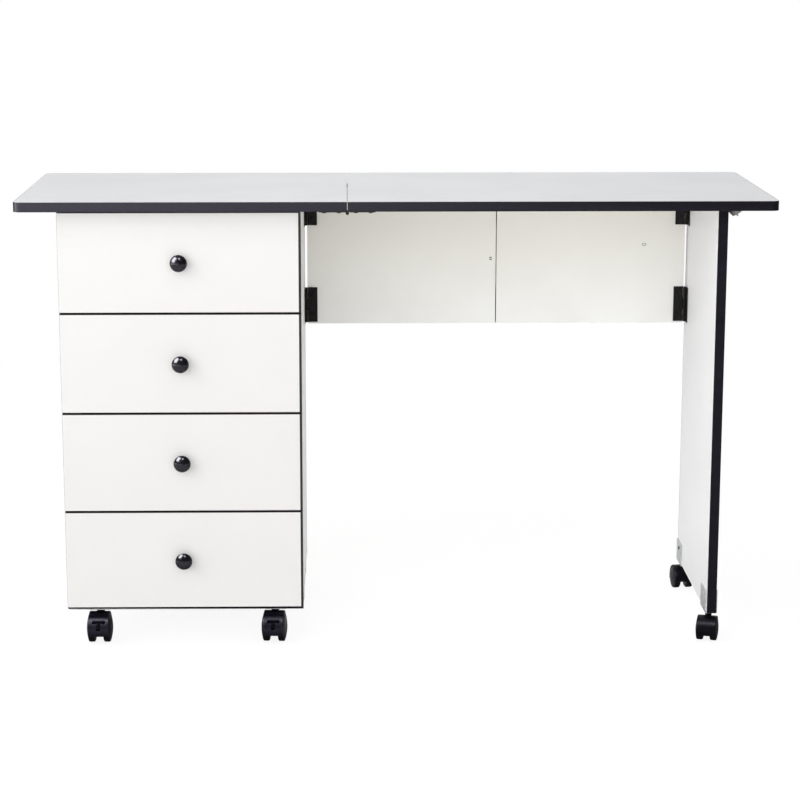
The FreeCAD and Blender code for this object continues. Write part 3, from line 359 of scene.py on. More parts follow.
def fibreBack(tree, paint, rough):
    # painted inside, bare brown fibre at the back
    bare = facing(tree, 1, 0.5)
    fibre = put(tree, "TexNoise", {"Vector": put(tree, "TexCoord").outputs["Object"],
                                   "Scale": bareBack["fibres"], "Detail": bareBack["detail"]})
    brown = blendColour(tree, spread(tree, fibre.outputs[0], *bareBack["clumps"]),
                        bareBack["light"], bareBack["dark"])
    return (blendColour(tree, bare, paint, brown),
            sums(tree, "ADD", rough, sums(tree, "MULTIPLY", bare, bareBack["mirroredShade"])))


backFinish = makeFinish("backHardboard", {
    "base": colour(238, 238, 236), "shade": colour(232, 232, 229), "fine": 0.0012, "broad": 0.09,
    "roughness": (0.4, 0.5), "bump": 0.00006, "edge": 0.0004}, fibreBack)
runnerFinish = makeFinish("runnerPlastic", {
    "base": colour(236, 234, 226), "shade": colour(229, 226, 216), "fine": 0.0008, "broad": 0.04,
    "roughness": (0.3, 0.4), "bump": 0.00003, "edge": 0.0008})
hingeFinish = makeFinish("hingeEnamel", {
    "base": colour(19, 16, 17), "shade": colour(25, 22, 22), "fine": 0.0008, "broad": 0.012,
    "roughness": (0.36, 0.5), "bump": 0.00006, "edge": 0.0005, "worn": colour(84, 76, 72),
    "wear": 0.5, "marks": 0.008, "specular": 0.19})
pinFinish = makeFinish("pinSteel", {
    "base": colour(150, 148, 146), "shade": colour(118, 115, 112), "fine": 0.0006, "broad": 0.006,
    "stretch": (1.0, 1.0, 8.0), "roughness": (0.25, 0.4), "bump": 0.00002, "edge": 0.0003,
    "metallic": 1.0, "marks": 0.005})

bloom = {
    "crystals": 190.0, "share": 0.6, "dark": colour(186, 188, 191), "light": colour(216, 218, 221),
    "gloss": (-0.06, 0.08),
}


def zincBloom(tree, paint, rough):
    # the crystals of a zinc coat, each a little lighter or duller
    crystal = cells(tree, bloom["crystals"])
    bright = blendColour(tree, crystal, bloom["dark"], bloom["light"])
    return (blendColour(tree, bloom["share"], paint, bright),
            sums(tree, "ADD", rough, spread(tree, crystal, 0.0, 1.0, *bloom["gloss"])))


saddleFinish = makeFinish("saddleZinc", {
    "base": colour(207, 209, 212), "shade": colour(195, 197, 200), "fine": 0.0007, "broad": 0.02,
    "roughness": (0.36, 0.48), "bump": 0.00004, "edge": 0.0005, "metallic": 0.6, "marks": 0.009},
    zincBloom)

browning = {"full": 0.002, "gone": 0.010, "share": 0.95, "colour": colour(58, 44, 38)}


def tarnish(tree, paint, rough):
    # the spring's lip and first bend have browned
    lip = catchBox[0].x
    browned = spread(tree, alongAxis(tree, 0), lip + browning["full"], lip + browning["gone"],
                     browning["share"], 0.0)
    return blendColour(tree, browned, paint, browning["colour"]), rough


catchFinish = makeFinish("catchNickel", {
    "base": colour(158, 154, 151), "shade": colour(134, 130, 126), "fine": 0.0005, "broad": 0.008,
    "stretch": (1.0, 6.0, 1.0), "roughness": (0.3, 0.42), "bump": 0.00003, "edge": 0.0003,
    "metallic": 0.35, "marks": 0.006}, tarnish)
knobFinish = makeFinish("knobGloss", {
    "base": colour(13, 11, 17), "shade": colour(18, 16, 23), "fine": 0.0016, "broad": 0.01,
    "roughness": (0.15, 0.21), "bump": 0.00002, "relief": 0.3, "edge": 0.0004, "marks": 0.007,
    "specular": 0.44, "tint": (0.92, 0.9, 1.0, 1.0)})
hoodLook = {
    "base": colour(13, 11, 21), "shade": colour(17, 14, 27), "fine": 0.0005, "broad": 0.01,
    "roughness": (0.3, 0.4), "bump": 0.00005, "edge": 0.0008, "worn": colour(54, 52, 64),
    "wear": 0.5, "marks": 0.008, "specular": 0.33, "tint": indigo,
}
hoodFinish = makeFinish("castorNylon", hoodLook)
# painted shade: the leg castors take a darker copy of the castor nylon, painted darker for the light on them
legHoodPaintedShadeFinish = makeFinish("legCastorNylonPaintedShade", {
    **hoodLook, "base": colour(7, 6, 12), "shade": colour(10, 9, 16), "wear": 0.35,
    "specular": 0.2})
wheelFinish = makeFinish("wheelNylon", {
    "base": colour(12, 11, 18), "shade": colour(16, 14, 23), "fine": 0.0006, "broad": 0.009,
    "roughness": (0.3, 0.4), "bump": 0.00005, "edge": 0.0005, "worn": colour(54, 52, 62),
    "wear": 0.3, "marks": 0.007, "specular": 0.26, "tint": indigo})
treadFinish = makeFinish("wheelTread", {
    "base": colour(15, 14, 17), "shade": colour(22, 21, 24), "fine": 0.0004, "broad": 0.006,
    "roughness": (0.62, 0.8), "bump": 0.00010, "edge": 0.0006, "speck": colour(34, 32, 34),
    "specular": 0.08, "tint": indigo})
brakeFinish = makeFinish("brakeNylon", {
    "base": colour(8, 7, 11), "shade": colour(12, 11, 15), "fine": 0.0005, "broad": 0.007,
    "roughness": (0.36, 0.5), "bump": 0.00005, "edge": 0.0009, "worn": colour(58, 56, 66),
    "wear": 0.5, "specular": 0.06, "tint": indigo})
blackScrewFinish = makeFinish("screwBlack", {
    "base": colour(20, 18, 18), "shade": colour(32, 29, 28), "fine": 0.0004, "broad": 0.003,
    "roughness": (0.3, 0.44), "bump": 0.00003, "edge": 0.0002, "worn": colour(96, 88, 82),
    "wear": 0.5, "metallic": 0.2, "specular": 0.2})
zincScrewFinish = makeFinish("screwZinc", {
    "base": colour(178, 176, 172), "shade": colour(150, 147, 142), "fine": 0.0004, "broad": 0.003,
    "roughness": (0.25, 0.4), "bump": 0.00003, "edge": 0.0002, "metallic": 1.0})
capFinish = makeFinish("capPlastic", {
    "base": colour(240, 240, 239), "shade": colour(234, 234, 232), "fine": 0.0005, "broad": 0.004,
    "roughness": (0.34, 0.44), "bump": 0.00002, "edge": 0.0004})
ringFinish = makeFinish("ringGrey", {
    "base": colour(84, 82, 78), "shade": colour(68, 66, 62), "fine": 0.0004, "broad": 0.003,
    "roughness": (0.4, 0.55), "bump": 0.00003, "edge": 0.0003})

finishOfSlot = {
    "white_laminate": cabinetFinish, "drawer_front_laminate": frontPaintedShadeFinish,
    "apron_laminate": apronPaintedLightAndShadeFinish, "black_edging": edgingFinish, "drawer_chipboard": boxFinish,
    "hardboard": backFinish, "runner_plastic": runnerFinish, "hinge_black": hingeFinish,
    "pin_steel": pinFinish, "saddle_steel": saddleFinish, "catch_nickel": catchFinish,
    "knob_black": knobFinish, "castor_black": hoodFinish, "castor_wheel_black": wheelFinish,
    "brake_black": brakeFinish,
}
finishOfNode = {
    "table_top": topFinish, "leaf_board": topFinish, "leg_panel": legPaintedLightFinish,
    "leg_edging": legEdgingFinish, "leaf_hinge_pins": hingeFinish,
    "castor_leg_front_hood": legHoodPaintedShadeFinish, "castor_leg_rear_hood": legHoodPaintedShadeFinish,
    "cabinet_side_right": sidePaintedLightFinish,
}
for part in frame["record"]["subparts"]:
    node = nodes[part["node"]]
    finish = finishOfNode.get(part["node"], finishOfSlot[part["material_slot"]])
    node.data.materials.clear()
    node.data.materials.append(finish)
    for face in node.data.polygons:
        face.use_smooth = True  # faces of the solid share no points, so its real corners stay
print("finishes ready:", len(bpy.data.materials))


def meshPiece(name, mesh, finishes, body):
    data = bpy.data.meshes.new(name)
    mesh.to_mesh(data)
    mesh.free()
    piece = bpy.data.objects.new(name, data)
    scene.collection.objects.link(piece)
    for finish in finishes:
        data.materials.append(finish)
    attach(piece, body)
    return piece


def standOn(place, normal, spin=0.0):
    # a frame with Z along the normal
    turn = Vector(normal).to_track_quat("Z", "Y").to_matrix().to_4x4()
    return Matrix.Translation(place) @ turn @ Matrix.Rotation(spin, 4, "Z")


def joinLoops(mesh, loops, smooth=True, material=0):
    # quads between each loop of points and the next; all loops have as many points
    rows = [[mesh.verts.new(point) for point in loop] for loop in loops]
    count = len(rows[0])
    for first, second in zip(rows, rows[1:]):
        for i in range(count):
            face = mesh.faces.new((first[i], first[(i + 1) % count],
                                   second[(i + 1) % count], second[i]))
            face.smooth = smooth
            face.material_index = material
    return rows


def ring(radius, height, count, start=0.0):
    turns = [start + i * 2 * math.pi / count for i in range(count)]
    return [Vector((radius * math.cos(turn), radius * math.sin(turn), height)) for turn in turns]


# a screw's head: a dome, as shares of its radius and height, and the cross recess in it
screwShape = {
    "points": 24,
    "dome": ((1.0, 0.0), (1.0, 0.28), (0.94, 0.56), (0.8, 0.82), (0.66, 0.94)),
    "arm": 0.56, "armHalf": 0.13,  # the recess's reach and half width, as shares of the radius
    "armMiddle": 0.6,
    "floor": (0.35, 0.82),  # the recess's floor: its height, and how much narrower it is
    "turns": (0.5, 1.7),  # how far the first is turned, and each next one after it
}


def crossLoop(radius, height, share=1.0):
    reach, half = radius * screwShape["arm"] * share, radius * screwShape["armHalf"] * share
    middle = reach * screwShape["armMiddle"]
    arm = ((half, -half), (middle, -half), (reach, -half), (reach, 0), (reach, half),
           (middle, half))
    return [Matrix.Rotation(math.pi / 2 * quarter, 3, "Z") @ Vector((x, y, height))
            for quarter in range(4) for x, y in arm]


def addScrew(mesh, place, normal, radius, height, spin):
    frameOf = standOn(place, normal, spin)
    loops = [ring(radius * share, height * up, screwShape["points"], -math.pi / 4)
             for share, up in screwShape["dome"]]
    deep, narrow = screwShape["floor"]
    loops += [crossLoop(radius, height), crossLoop(radius, height * deep, narrow)]
    rows = joinLoops(mesh, [[frameOf @ point for point in loop] for loop in loops])
    floor = mesh.faces.new(rows[-1])
    floor.smooth = False


def screwPiece(name, body, finish, screws):
    mesh = bmesh.new()
    first, step = screwShape["turns"]
    for count, (place, normal, radius, height) in enumerate(screws):
        addScrew(mesh, place, normal, radius, height, first + step * count)
    return meshPiece(name, mesh, [finish], body)


hingeScrews = {
    "radius": 0.0034, "height": 0.0012, "fromPin": 0.012, "up": (0.2, 0.8),
    "seamRadius": 0.0042, "seamHeight": 0.0024, "seamFromPin": (0.014, 0.038),
    "plate": 0.0015,  # from a pin's middle to its plates' faces
    "samePoint": 1e-6,
}
# the body under each leaf of the upright hinges, the way the leaf lies from the pin, and the way
# its face looks
hingeLeaves = {
    "cabinet_hinge_pins": (("cabinet", (0, -1, 0), (1, 0, 0)),
                           ("apron_left", (1, 0, 0), (0, -1, 0))),
    "fold_hinge_pins": (("apron_left", (-1, 0, 0), (0, 1, 0)),
                        ("apron_right", (1, 0, 0), (0, 1, 0))),
    "leg_hinge_pins": (("apron_right", (-1, 0, 0), (0, -1, 0)),
                       ("leg", (0, -1, 0), (-1, 0, 0))),
}


def pinLines(name):
    # the separate pins in a node, as their lowest and highest corners
    mesh = bmesh.new()
    mesh.from_mesh(nodes[name].data)
    bmesh.ops.remove_doubles(mesh, verts=mesh.verts, dist=hingeScrews["samePoint"])
    found, left = [], set(mesh.verts)
    while left:
        stack, members = [left.pop()], []
        while stack:
            vertex = stack.pop()
            members.append(vertex.co.copy())
            for edge in vertex.link_edges:
                other = edge.other_vert(vertex)
                if other in left:
                    left.remove(other)
                    stack.append(other)
        low = Vector([min(p[i] for p in members) for i in range(3)])
        high = Vector([max(p[i] for p in members) for i in range(3)])
        found.append((low, high))
    mesh.free()
    return sorted(found, key=lambda corners: tuple(corners[0]))


down = (0, 0, -1)
screwsOn = {"cabinet": [], "apron_left": [], "apron_right": [], "leg": [], "leaf": []}
for pins, leaves in hingeLeaves.items():
    for low, high in pinLines(pins):
        middle = (low + high) / 2
        for share in hingeScrews["up"]:
            height = low.z + (high.z - low.z) * share
            for body, along, normal in leaves:
                place = Vector((middle.x, middle.y, height))
                place += Vector(along) * hingeScrews["fromPin"]
                place -= Vector(normal) * hingeScrews["plate"]
                screwsOn[body].append((place, normal, hingeScrews["radius"],
                                       hingeScrews["height"]))
for low, high in pinLines("leaf_hinge_pins"):
    middle = (low + high) / 2
    for away in hingeScrews["seamFromPin"]:
        for body, side in (("cabinet", -1), ("leaf", 1)):
            place = Vector((middle.x + side * away, middle.y, middle.z + hingeScrews["plate"]))
            screwsOn[body].append((place, down, hingeScrews["seamRadius"],
                                   hingeScrews["seamHeight"]))
catchScrew = {"fromEnd": 0.0055, "plate": 0.0012, "radius": 0.0032, "height": 0.0012}
place = Vector((catchBox[1].x - catchScrew["fromEnd"], (catchBox[0].y + catchBox[1].y) / 2,
                catchBox[1].z - catchScrew["plate"]))
screwsOn["leaf"].append((place, down, catchScrew["radius"], catchScrew["height"]))
for body, screws in screwsOn.items():
    screwPiece(body + "_hinge_screws", body, blackScrewFinish, screws)

saddleScrews = {
    "radius": 0.0036, "heights": {"front": 0.0005, "rear": 0.0016},
    "depth": 0.052, "along": 0.4, "up": 0.72,  # the saddle's depth, and the screw's place as shares
}
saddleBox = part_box("leg_saddles")
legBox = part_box("leg_panel")
for word, low, finish in (("front", saddleBox[0].y, saddleFinish),
                          ("rear", saddleBox[1].y - saddleScrews["depth"], blackScrewFinish)):
    across = low + saddleScrews["depth"] * saddleScrews["along"]
    height = legBox[0].z + (saddleBox[1].z - legBox[0].z) * saddleScrews["up"]
    screwPiece(word + "_saddle_screws", "leg", finish, [
        (Vector((x, across, height)), (side, 0, 0), saddleScrews["radius"],
         saddleScrews["heights"][word])
        for x, side in ((saddleBox[0].x, -1), (saddleBox[1].x, 1))])

# the screws of the castors' plates, each way from the stem
plateScrews = {"radius": 0.0034, "height": 0.0014, "corner": 0.0145, "plate": 0.0025}
screws = []
for name in ("castor_front_left", "castor_front_right", "castor_rear_left", "castor_rear_right"):
    stem = Vector(joints[name + "_swivel"]["pos_m"])
    for sideX in (-1, 1):
        for sideY in (-1, 1):
            place = Vector((stem.x + sideX * plateScrews["corner"],
                            stem.y + sideY * plateScrews["corner"],
                            sideBox[0].z - plateScrews["plate"]))
            screws.append((place, down, plateScrews["radius"], plateScrews["height"]))
screwPiece("castor_plate_screws", "cabinet", zincScrewFinish, screws)
print("screws set")


def addCap(mesh, place, normal, profile, points=32, squash=1.0, material=0):
    # a turned button: profile is (radius, height) from its foot to its middle
    frameOf = standOn(place, normal) @ Matrix.Diagonal((1.0, squash, 1.0, 1.0))
    rows = joinLoops(mesh, [[frameOf @ point for point in ring(radius, height, points)]
                            for radius, height in profile], material=material)
    middle = mesh.faces.new(rows[-1])
    middle.smooth = False
    middle.material_index = material


# a slotted screw and a small ring on the apron's face, each at its x and z
apronMarks = {
    "screw": (0.1762, 0.6143), "screwRadius": 0.0029, "screwHeight": 0.0006, "slotHalf": 0.0010,
    "slotFloor": 0.2, "half": ((1.0, 0.0), (1.0, 0.55), (0.94, 0.85), (0.84, 1.0)),
    "ring": (0.4521, 0.6390), "ringSquash": 0.68,
    "ringRim": ((0.0036, 0.0), (0.0036, 0.0003), (0.0033, 0.0006), (0.0029, 0.0006),
                (0.0027, 0.0003)),
    "ringMiddle": ((0.0027, 0.0), (0.0027, 0.0003), (0.0024, 0.0005), (0.0012, 0.0006)),
}
apronFace = apronBox[0].y
outward = (0, -1, 0)
mesh = bmesh.new()
x, z = apronMarks["ring"]
for profile, material in ((apronMarks["ringRim"], 0), (apronMarks["ringMiddle"], 1)):
    addCap(mesh, Vector((x, apronFace, z)), outward, profile, squash=apronMarks["ringSquash"],
           material=material)
meshPiece("apron_ring_cap", mesh, [ringFinish, capFinish], "apron_right")


def moonLoop(radius, gap, height, points=14):
    # the arc of a disc above its slot
    start = math.asin(gap / radius)
    step = (math.pi - 2 * start) / (points - 1)
    turns = [start + i * step for i in range(points)]
    return [Vector((radius * math.cos(turn), radius * math.sin(turn), height)) for turn in turns]


mesh = bmesh.new()
x, z = apronMarks["screw"]
radius, height, gap = apronMarks["screwRadius"], apronMarks["screwHeight"], apronMarks["slotHalf"]
addCap(mesh, Vector((x, apronFace, z)), outward,
       ((radius, 0.0), (radius, height * apronMarks["slotFloor"])), material=1)
for turn in (0.0, math.pi):
    frameOf = standOn(Vector((x, apronFace, z)), outward, turn)
    loops = [[frameOf @ point for point in moonLoop(radius * share, gap, height * up)]
             for share, up in apronMarks["half"]]
    rows = joinLoops(mesh, loops, smooth=False)
    mesh.faces.new(rows[-1])
meshPiece("apron_stop_screw", mesh, [ringFinish, capFinish], "apron_left")

sideCaps = {
    "profile": ((0.0062, 0.0), (0.0062, 0.0004), (0.0057, 0.0008), (0.0045, 0.0010),
                (0.0025, 0.00105)),
    "spots": ((-0.130, 0.067), (0.040, 0.067), (0.170, 0.067), (-0.148, 0.736), (0.185, 0.736)),
}
mesh = bmesh.new()
for x, side in ((sideBox[0].x, -1), (farSideBox[1].x, 1)):
    for y, z in sideCaps["spots"]:
        addCap(mesh, Vector((x, y, z)), (side, 0, 0), sideCaps["profile"])
meshPiece("cabinet_screw_caps", mesh, [capFinish], "cabinet")
print("caps set")


# the spring catch's two cheeks and the roller pin between them, in millimetres from its lip and
# from the leaf's underside
catchShape = {
    "cheek": ((0.3, -0.1), (23.0, -0.1), (22.2, -2.2), (18.6, -5.4), (12.6, -9.9), (8.2, -11.5),
              (6.2, -12.1), (5.0, -11.4), (1.3, -7.6), (0.35, -4.0)),
    "thick": 0.7, "rim": 0.25, "cheekGap": 0.1,
    "pin": (13.4, -10.9), "pinRadius": 1.3, "pinGap": 0.3, "pinPoints": 24,
    "pinEnds": ((0.7, 0.0), (1.0, 0.02), (1.0, 0.98), (0.7, 1.0)),  # shares of radius and length
}


def addCheek(mesh, y, out):
    # a stamped plate with a softened rim on its outer side
    corners = [Vector((x, 0.0, z)) for x, z in catchShape["cheek"]]
    middle = sum(corners, Vector()) / len(corners)
    thick, rim = catchShape["thick"], catchShape["rim"]
    loops = []
    for inward, depth in ((0.0, 0.0), (0.0, thick - rim), (rim, thick)):
        points = [corner + (middle - corner).normalized() * inward for corner in corners]
        loops.append([Vector((catchBox[0].x + point.x / 1000, y + out * depth / 1000,
                              catchBox[1].z + point.z / 1000)) for point in points])
    if out > 0:
        loops = [loop[::-1] for loop in loops]
    rows = joinLoops(mesh, loops, smooth=False)
    mesh.faces.new(rows[0][::-1])
    mesh.faces.new(rows[-1])


mesh = bmesh.new()
inset = (catchShape["thick"] + catchShape["cheekGap"]) / 1000
addCheek(mesh, catchBox[0].y + inset, -1)
addCheek(mesh, catchBox[1].y - inset, 1)
x, z = catchShape["pin"]
gap, radius = catchShape["pinGap"] / 1000, catchShape["pinRadius"] / 1000
frameOf = standOn(Vector((catchBox[0].x + x / 1000, catchBox[0].y + gap,
                          catchBox[1].z + z / 1000)), (0, 1, 0))
length = catchBox[1].y - catchBox[0].y - 2 * gap
loops = [ring(radius * share, length * along, catchShape["pinPoints"])
         for share, along in catchShape["pinEnds"]]
rows = joinLoops(mesh, [[frameOf @ point for point in loop] for loop in loops])
mesh.faces.new(rows[0][::-1])
mesh.faces.new(rows[-1])
meshPiece("leaf_catch_cheeks", mesh, [catchFinish], "leaf")
print("catch dressed")


# castor wheels, in millimetres from the middle of the castor and from the axle
castorSizes = {
    "big": {"radius": 25.0, "inner": 7.5, "bevel": 1.8, "tread": 16.6, "shoulder": (18.2, 23.9),
            "outer": 22.0, "axle": 2.95},
    "small": {"radius": 20.0, "inner": 6.2, "bevel": 1.4, "tread": 15.6, "shoulder": (16.9, 19.1),
              "outer": 19.3, "axle": 2.45},
}
wheelShape = {
    "segments": 72, "axlePoints": 24,
    "hub": (0.14, 0.6),  # shares of the wheel's radius
    # the tread's inner edge: shares of the bevel outwards and down, then its finish
    "edge": ((0.0, 1.0, 0), (0.2, 0.75, 1), (0.55, 0.3, 1)),
    # then its crest, its outer lip and the swell beside the dome, each outwards and in radius
    "crest": (1.3, 0.06), "lip": (0.4, 0.08), "swell": (0.1, 0.12),
    # the dome's rings: share of its radius, and how far it is sunk under its curve
    "dome": ((1.0, 0.0), (0.965, 0.0), (0.955, 0.45), (0.925, 0.5), (0.915, 0.1), (0.86, 0.0),
             (0.76, 0.0), (0.66, 0.0), (0.55, 0.0), (0.46, 0.0), (0.39, 0.0), (0.375, 0.5),
             (0.345, 0.55), (0.33, 0.05), (0.26, 0.0), (0.16, 0.0), (0.06, 0.0)),
}


def wheelProfile(size):
    # (across, radius, finish that starts there), from the hub's inner end out to the dome's middle
    inner, bevel, radius, tread = size["inner"], size["bevel"], size["radius"], size["tread"]
    across, shoulder = size["shoulder"]
    crest, crestDrop = wheelShape["crest"]
    lip, lipDrop = wheelShape["lip"]
    swellOut, swellUp = wheelShape["swell"]
    profile = [(inner, radius * share, 0) for share in wheelShape["hub"]]
    profile += [(inner + bevel * out, radius - bevel * drop, finish)
                for out, drop, finish in wheelShape["edge"]]
    profile += [(inner + bevel, radius - crestDrop, 1), (inner + bevel * crest, radius, 1),
                ((inner + bevel + tread) / 2, radius, 1), (tread - lip, radius, 1),
                (tread, radius - lipDrop, 1),
                ((tread + across) / 2 + swellOut, (radius + shoulder) / 2 + swellUp, 0)]
    rise = size["outer"] - across
    for share, sunk in wheelShape["dome"]:
        profile.append((size["outer"] - rise * share ** 2 - sunk, shoulder * share, 0))
    return [(out / 1000, away / 1000, finish) for out, away, finish in profile]


def addWheel(mesh, frameOf, size, side):
    profile = wheelProfile(size)
    count = wheelShape["segments"]
    rows = []
    for across, radius, finish in profile:
        loop = ring(radius, side * across, count)[::side]
        rows.append([mesh.verts.new(frameOf @ point) for point in loop])
    for first, second, (across, radius, finish) in zip(rows, rows[1:], profile):
        for i in range(count):
            after = (i + 1) % count
            face = mesh.faces.new((first[i], first[after], second[after], second[i]))
            face.smooth = True
            face.material_index = finish
    for row in (rows[0][::-1], rows[-1]):
        mesh.faces.new(row).smooth = False


for name in [key.removesuffix("_swivel") for key in joints if key.endswith("_swivel")]:
    size = castorSizes["small" if "_leg_" in name else "big"]
    roll = joints[name + "_roll"]
    frameOf = standOn(Vector(roll["pos_m"]), roll["axis"])
    mesh = bmesh.new()
    for side in (-1, 1):
        addWheel(mesh, frameOf, size, side)
    ends = [ring(size["axle"] / 1000, side * size["inner"] / 1000, wheelShape["axlePoints"])
            for side in (-1, 1)]
    joinLoops(mesh, [[frameOf @ point for point in end] for end in ends])
    piece = meshPiece(name + "_wheel_pair", mesh, [wheelFinish, treadFinish], name + "_wheels")
    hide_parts(name + "_wheels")
print("castor wheels turned")


# the floor: a pale sheet that turns to pure white between keep and fade from its middle
groundLook = {
    "reach": 3.0, "squares": 8, "keep": 1.5, "fade": 2.7, "glow": 0.89, "shade": 0.17,
    "bounce": colour(240, 239, 235),
    # the floor as gloss mirrors it: painted shade right under the cabinet and by the leg, white further off,
    # as lowest and highest corner, where it starts to clear, where it is clear, and how dark it is
    "mirrored": (((-0.61, -0.20), (-0.2, 0.2), 0.02, 0.15, 0.1),
                 ((0.47, -0.2), (0.57, -0.08), 0.08, 0.6, 0.08)),
}
pureWhite = (1, 1, 1, 1)
mesh = bmesh.new()
bmesh.ops.create_grid(mesh, x_segments=groundLook["squares"], y_segments=groundLook["squares"],
                      size=groundLook["reach"])
data = bpy.data.meshes.new("studioFloor")
mesh.to_mesh(data)
mesh.free()
floor = bpy.data.objects.new("studioFloor", data)
scene.collection.objects.link(floor)

floorFinish = bpy.data.materials.new("studioFloorPaint")
floorFinish.use_nodes = True
tree = floorFinish.node_tree
tree.nodes.clear()
path = put(tree, "LightPath")
seen = path.outputs["Is Camera Ray"]
for ray in ("Is Glossy Ray", "Is Transmission Ray"):
    seen = sums(tree, "MAXIMUM", seen, path.outputs[ray])
away = put(tree, "VectorMath", {0: put(tree, "TexCoord").outputs["Object"]}, operation="LENGTH")
lit = put(tree, "BsdfDiffuse", {"Color": groundLook["bounce"]})
shaded = put(tree, "BsdfDiffuse", {"Color": [groundLook["shade"]] * 3 + [1.0]})
shade = 1.0
for low, high, start, clear, dark in groundLook["mirrored"]:
    gaps = []
    for axis in range(2):
        middle, half = (low[axis] + high[axis]) / 2, (high[axis] - low[axis]) / 2
        off = sums(tree, "ABSOLUTE", sums(tree, "SUBTRACT", alongAxis(tree, axis), middle))
        gaps.append(sums(tree, "MAXIMUM", sums(tree, "SUBTRACT", off, half), 0.0))
    squares = [sums(tree, "MULTIPLY", gap, gap) for gap in gaps]
    apart = sums(tree, "SQRT", sums(tree, "ADD", *squares))
    shade = sums(tree, "MINIMUM", shade, spread(tree, apart, start, clear, dark, 1.0))
# painted shade: glossy rays see the floor darkened under the cabinet and by the leg
mirroredShade = put(tree, "Mix", {0: path.outputs["Is Glossy Ray"], 2: 1.0, 3: shade}).outputs[0]
white = put(tree, "Emission", {"Color": pureWhite, "Strength": mirroredShade})
glow = put(tree, "Emission", {"Color": pureWhite,
                              "Strength": sums(tree, "MULTIPLY", mirroredShade, groundLook["glow"])})
near = put(tree, "AddShader", {0: shaded.outputs[0], 1: glow.outputs[0]})
fade = spread(tree, away.outputs["Value"], groundLook["keep"], groundLook["fade"])
backdrop = put(tree, "MixShader", {0: fade, 1: near.outputs[0], 2: white.outputs[0]})
both = put(tree, "MixShader", {0: seen, 1: lit.outputs[0], 2: backdrop.outputs[0]})
put(tree, "OutputMaterial", {"Surface": both.outputs[0]})
data.materials.append(floorFinish)

roomLook = {
    # diffuse light: an even part, and windows: their way, how near it they begin, their strength
    "even": 0.44,
    "windows": (((-0.24, -0.97, 0.05), 0.5, 1.54), ((-0.975, -0.2, 0.1), 0.3, 0.85)),
    # what gloss mirrors from in front: a dim room over a low wall, brighter to the left
    "above": 0.12, "wallFoot": (-0.24, -0.15), "wallTop": (-0.09, -0.01, 1.0, 0.0),
    "wall": (-0.1, 0.12, 4.2, 0.0), "wallEnd": (-0.95, -0.75, 5.0, 0.0),
    # and from behind: white paper, brightest in its middle
    "turn": (-0.25, 0.35), "paperMiddle": 0.01, "paperNear": (0.03, 0.17, 1.1, 0.76),
    "paperFar": (0.22, 0.6, 1.0, 0.2),
}
world = bpy.data.worlds.new("studioRoom")
scene.world = world
world.use_nodes = True
tree = world.node_tree
tree.nodes.clear()
path = put(tree, "LightPath")
seen = sums(tree, "MAXIMUM", path.outputs["Is Camera Ray"], path.outputs["Is Transmission Ray"])
direction = put(tree, "TexCoord").outputs["Generated"]
east, north, up = put(tree, "SeparateXYZ", {0: direction}).outputs
wallBand = sums(tree, "MULTIPLY", spread(tree, up, *roomLook["wallFoot"]),
                spread(tree, up, *roomLook["wallTop"]))
wall = sums(tree, "ADD", spread(tree, east, *roomLook["wall"]),
            spread(tree, east, *roomLook["wallEnd"]))
front = put(tree, "Mix", {0: wallBand, 2: roomLook["above"], 3: wall}).outputs[0]
aside = sums(tree, "ABSOLUTE", sums(tree, "SUBTRACT", east, roomLook["paperMiddle"]))
paper = sums(tree, "MULTIPLY", spread(tree, aside, *roomLook["paperNear"]),
             spread(tree, aside, *roomLook["paperFar"]))
behind = spread(tree, north, *roomLook["turn"])
room = put(tree, "Mix", {0: behind, 2: front, 3: paper}).outputs[0]
mirrored = put(tree, "Background", {"Color": pureWhite, "Strength": room})
glimmer = roomLook["even"]
for way, near, strength in roomLook["windows"]:
    close = put(tree, "VectorMath", {0: direction, 1: way}, operation="DOT_PRODUCT")
    glimmer = sums(tree, "ADD", glimmer,
                   spread(tree, close.outputs["Value"], near, 1.0, 0.0, strength))
sky = put(tree, "Background", {"Color": pureWhite, "Strength": glimmer})
plain = put(tree, "Background", {"Color": pureWhite, "Strength": 1.0})
soft = put(tree, "MixShader", {0: path.outputs["Is Glossy Ray"], 1: sky.outputs[0],
                               2: mirrored.outputs[0]})
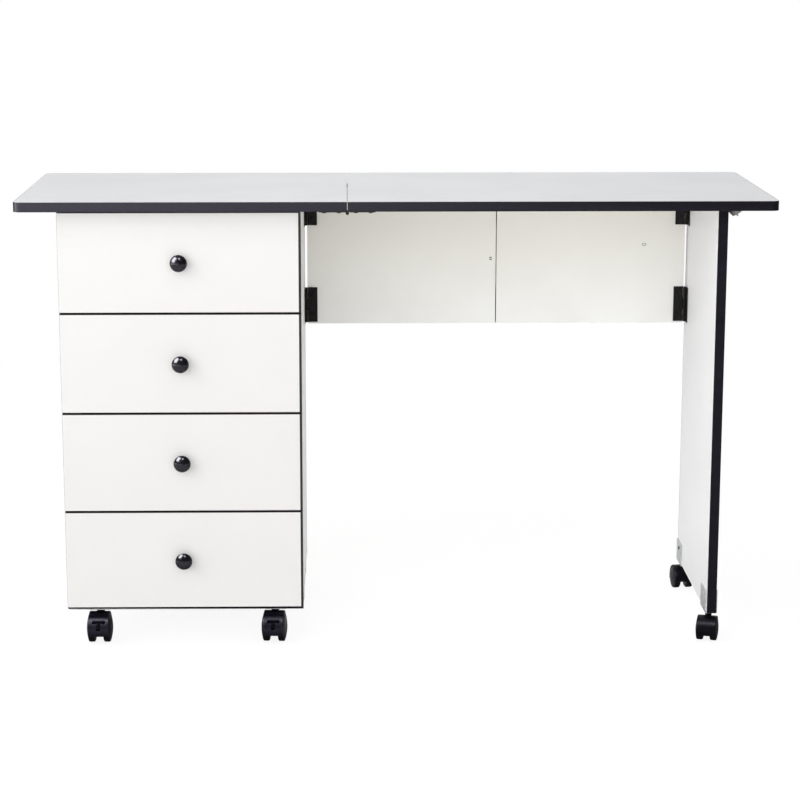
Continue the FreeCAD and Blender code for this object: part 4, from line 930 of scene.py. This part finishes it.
both = put(tree, "MixShader", {0: seen, 1: soft.outputs[0], 2: plain.outputs[0]})
put(tree, "OutputWorld", {"Surface": both.outputs[0]})

# the glints light nothing, they are only what the glossy pieces mirror
softboxes = {
    "keyBox": {"place": (-3.1, -1.9, 2.4), "aim": (-0.1, -0.1, 0.45), "size": (0.9, 1.6),
               "power": 15.0},
    "topBox": {"place": (-0.1, -1.2, 2.6), "aim": (-0.1, -0.1, 0.6), "size": (0.6, 0.5),
               "power": 3.0},
    "windowGlint": {"place": (-1.2, -0.69, 1.305), "aim": (-0.36, -0.24, 0.64),
                    "size": (0.74, 1.1), "power": 68.0, "mirrorOnly": True},
    "lampGlint": {"place": (-0.05, -1.6, 2.5), "aim": (-0.36, -0.23, 0.45), "size": (0.6, 0.6),
                  "power": 26.0, "mirrorOnly": True},
}
for name, values in softboxes.items():
    lamp = bpy.data.lights.new(name, "AREA")
    lamp.shape = "RECTANGLE"
    lamp.size, lamp.size_y = values["size"]
    lamp.energy = values["power"]
    holder = bpy.data.objects.new(name, lamp)
    holder.location = values["place"]
    aim = Vector(values["aim"]) - Vector(values["place"])
    holder.rotation_euler = aim.to_track_quat("-Z", "Y").to_euler()
    holder.visible_diffuse = not values.get("mirrorOnly", False)
    holder.visible_glossy = values.get("mirrorOnly", False)
    scene.collection.objects.link(holder)

# the camera looks a little down and to the right, in degrees
view = {
    "place": (-0.0843, -4.0740, 1.2054), "down": 12.470, "right": 0.9625, "lens": 106.56,
    "sensor": 36.0, "shift": (0.01875, 0.05625), "farthest": 200.0,
}
lens = bpy.data.cameras.new("frontView")
lens.lens = view["lens"]
lens.sensor_width = view["sensor"]
lens.clip_end = view["farthest"]
lens.shift_x, lens.shift_y = view["shift"]
camera = bpy.data.objects.new("frontView", lens)
camera.location = view["place"]
camera.rotation_euler = (math.radians(90 - view["down"]), 0.0, math.radians(-view["right"]))
scene.collection.objects.link(camera)
scene.camera = camera
scene.view_settings.view_transform = "Standard"
print("studio ready")
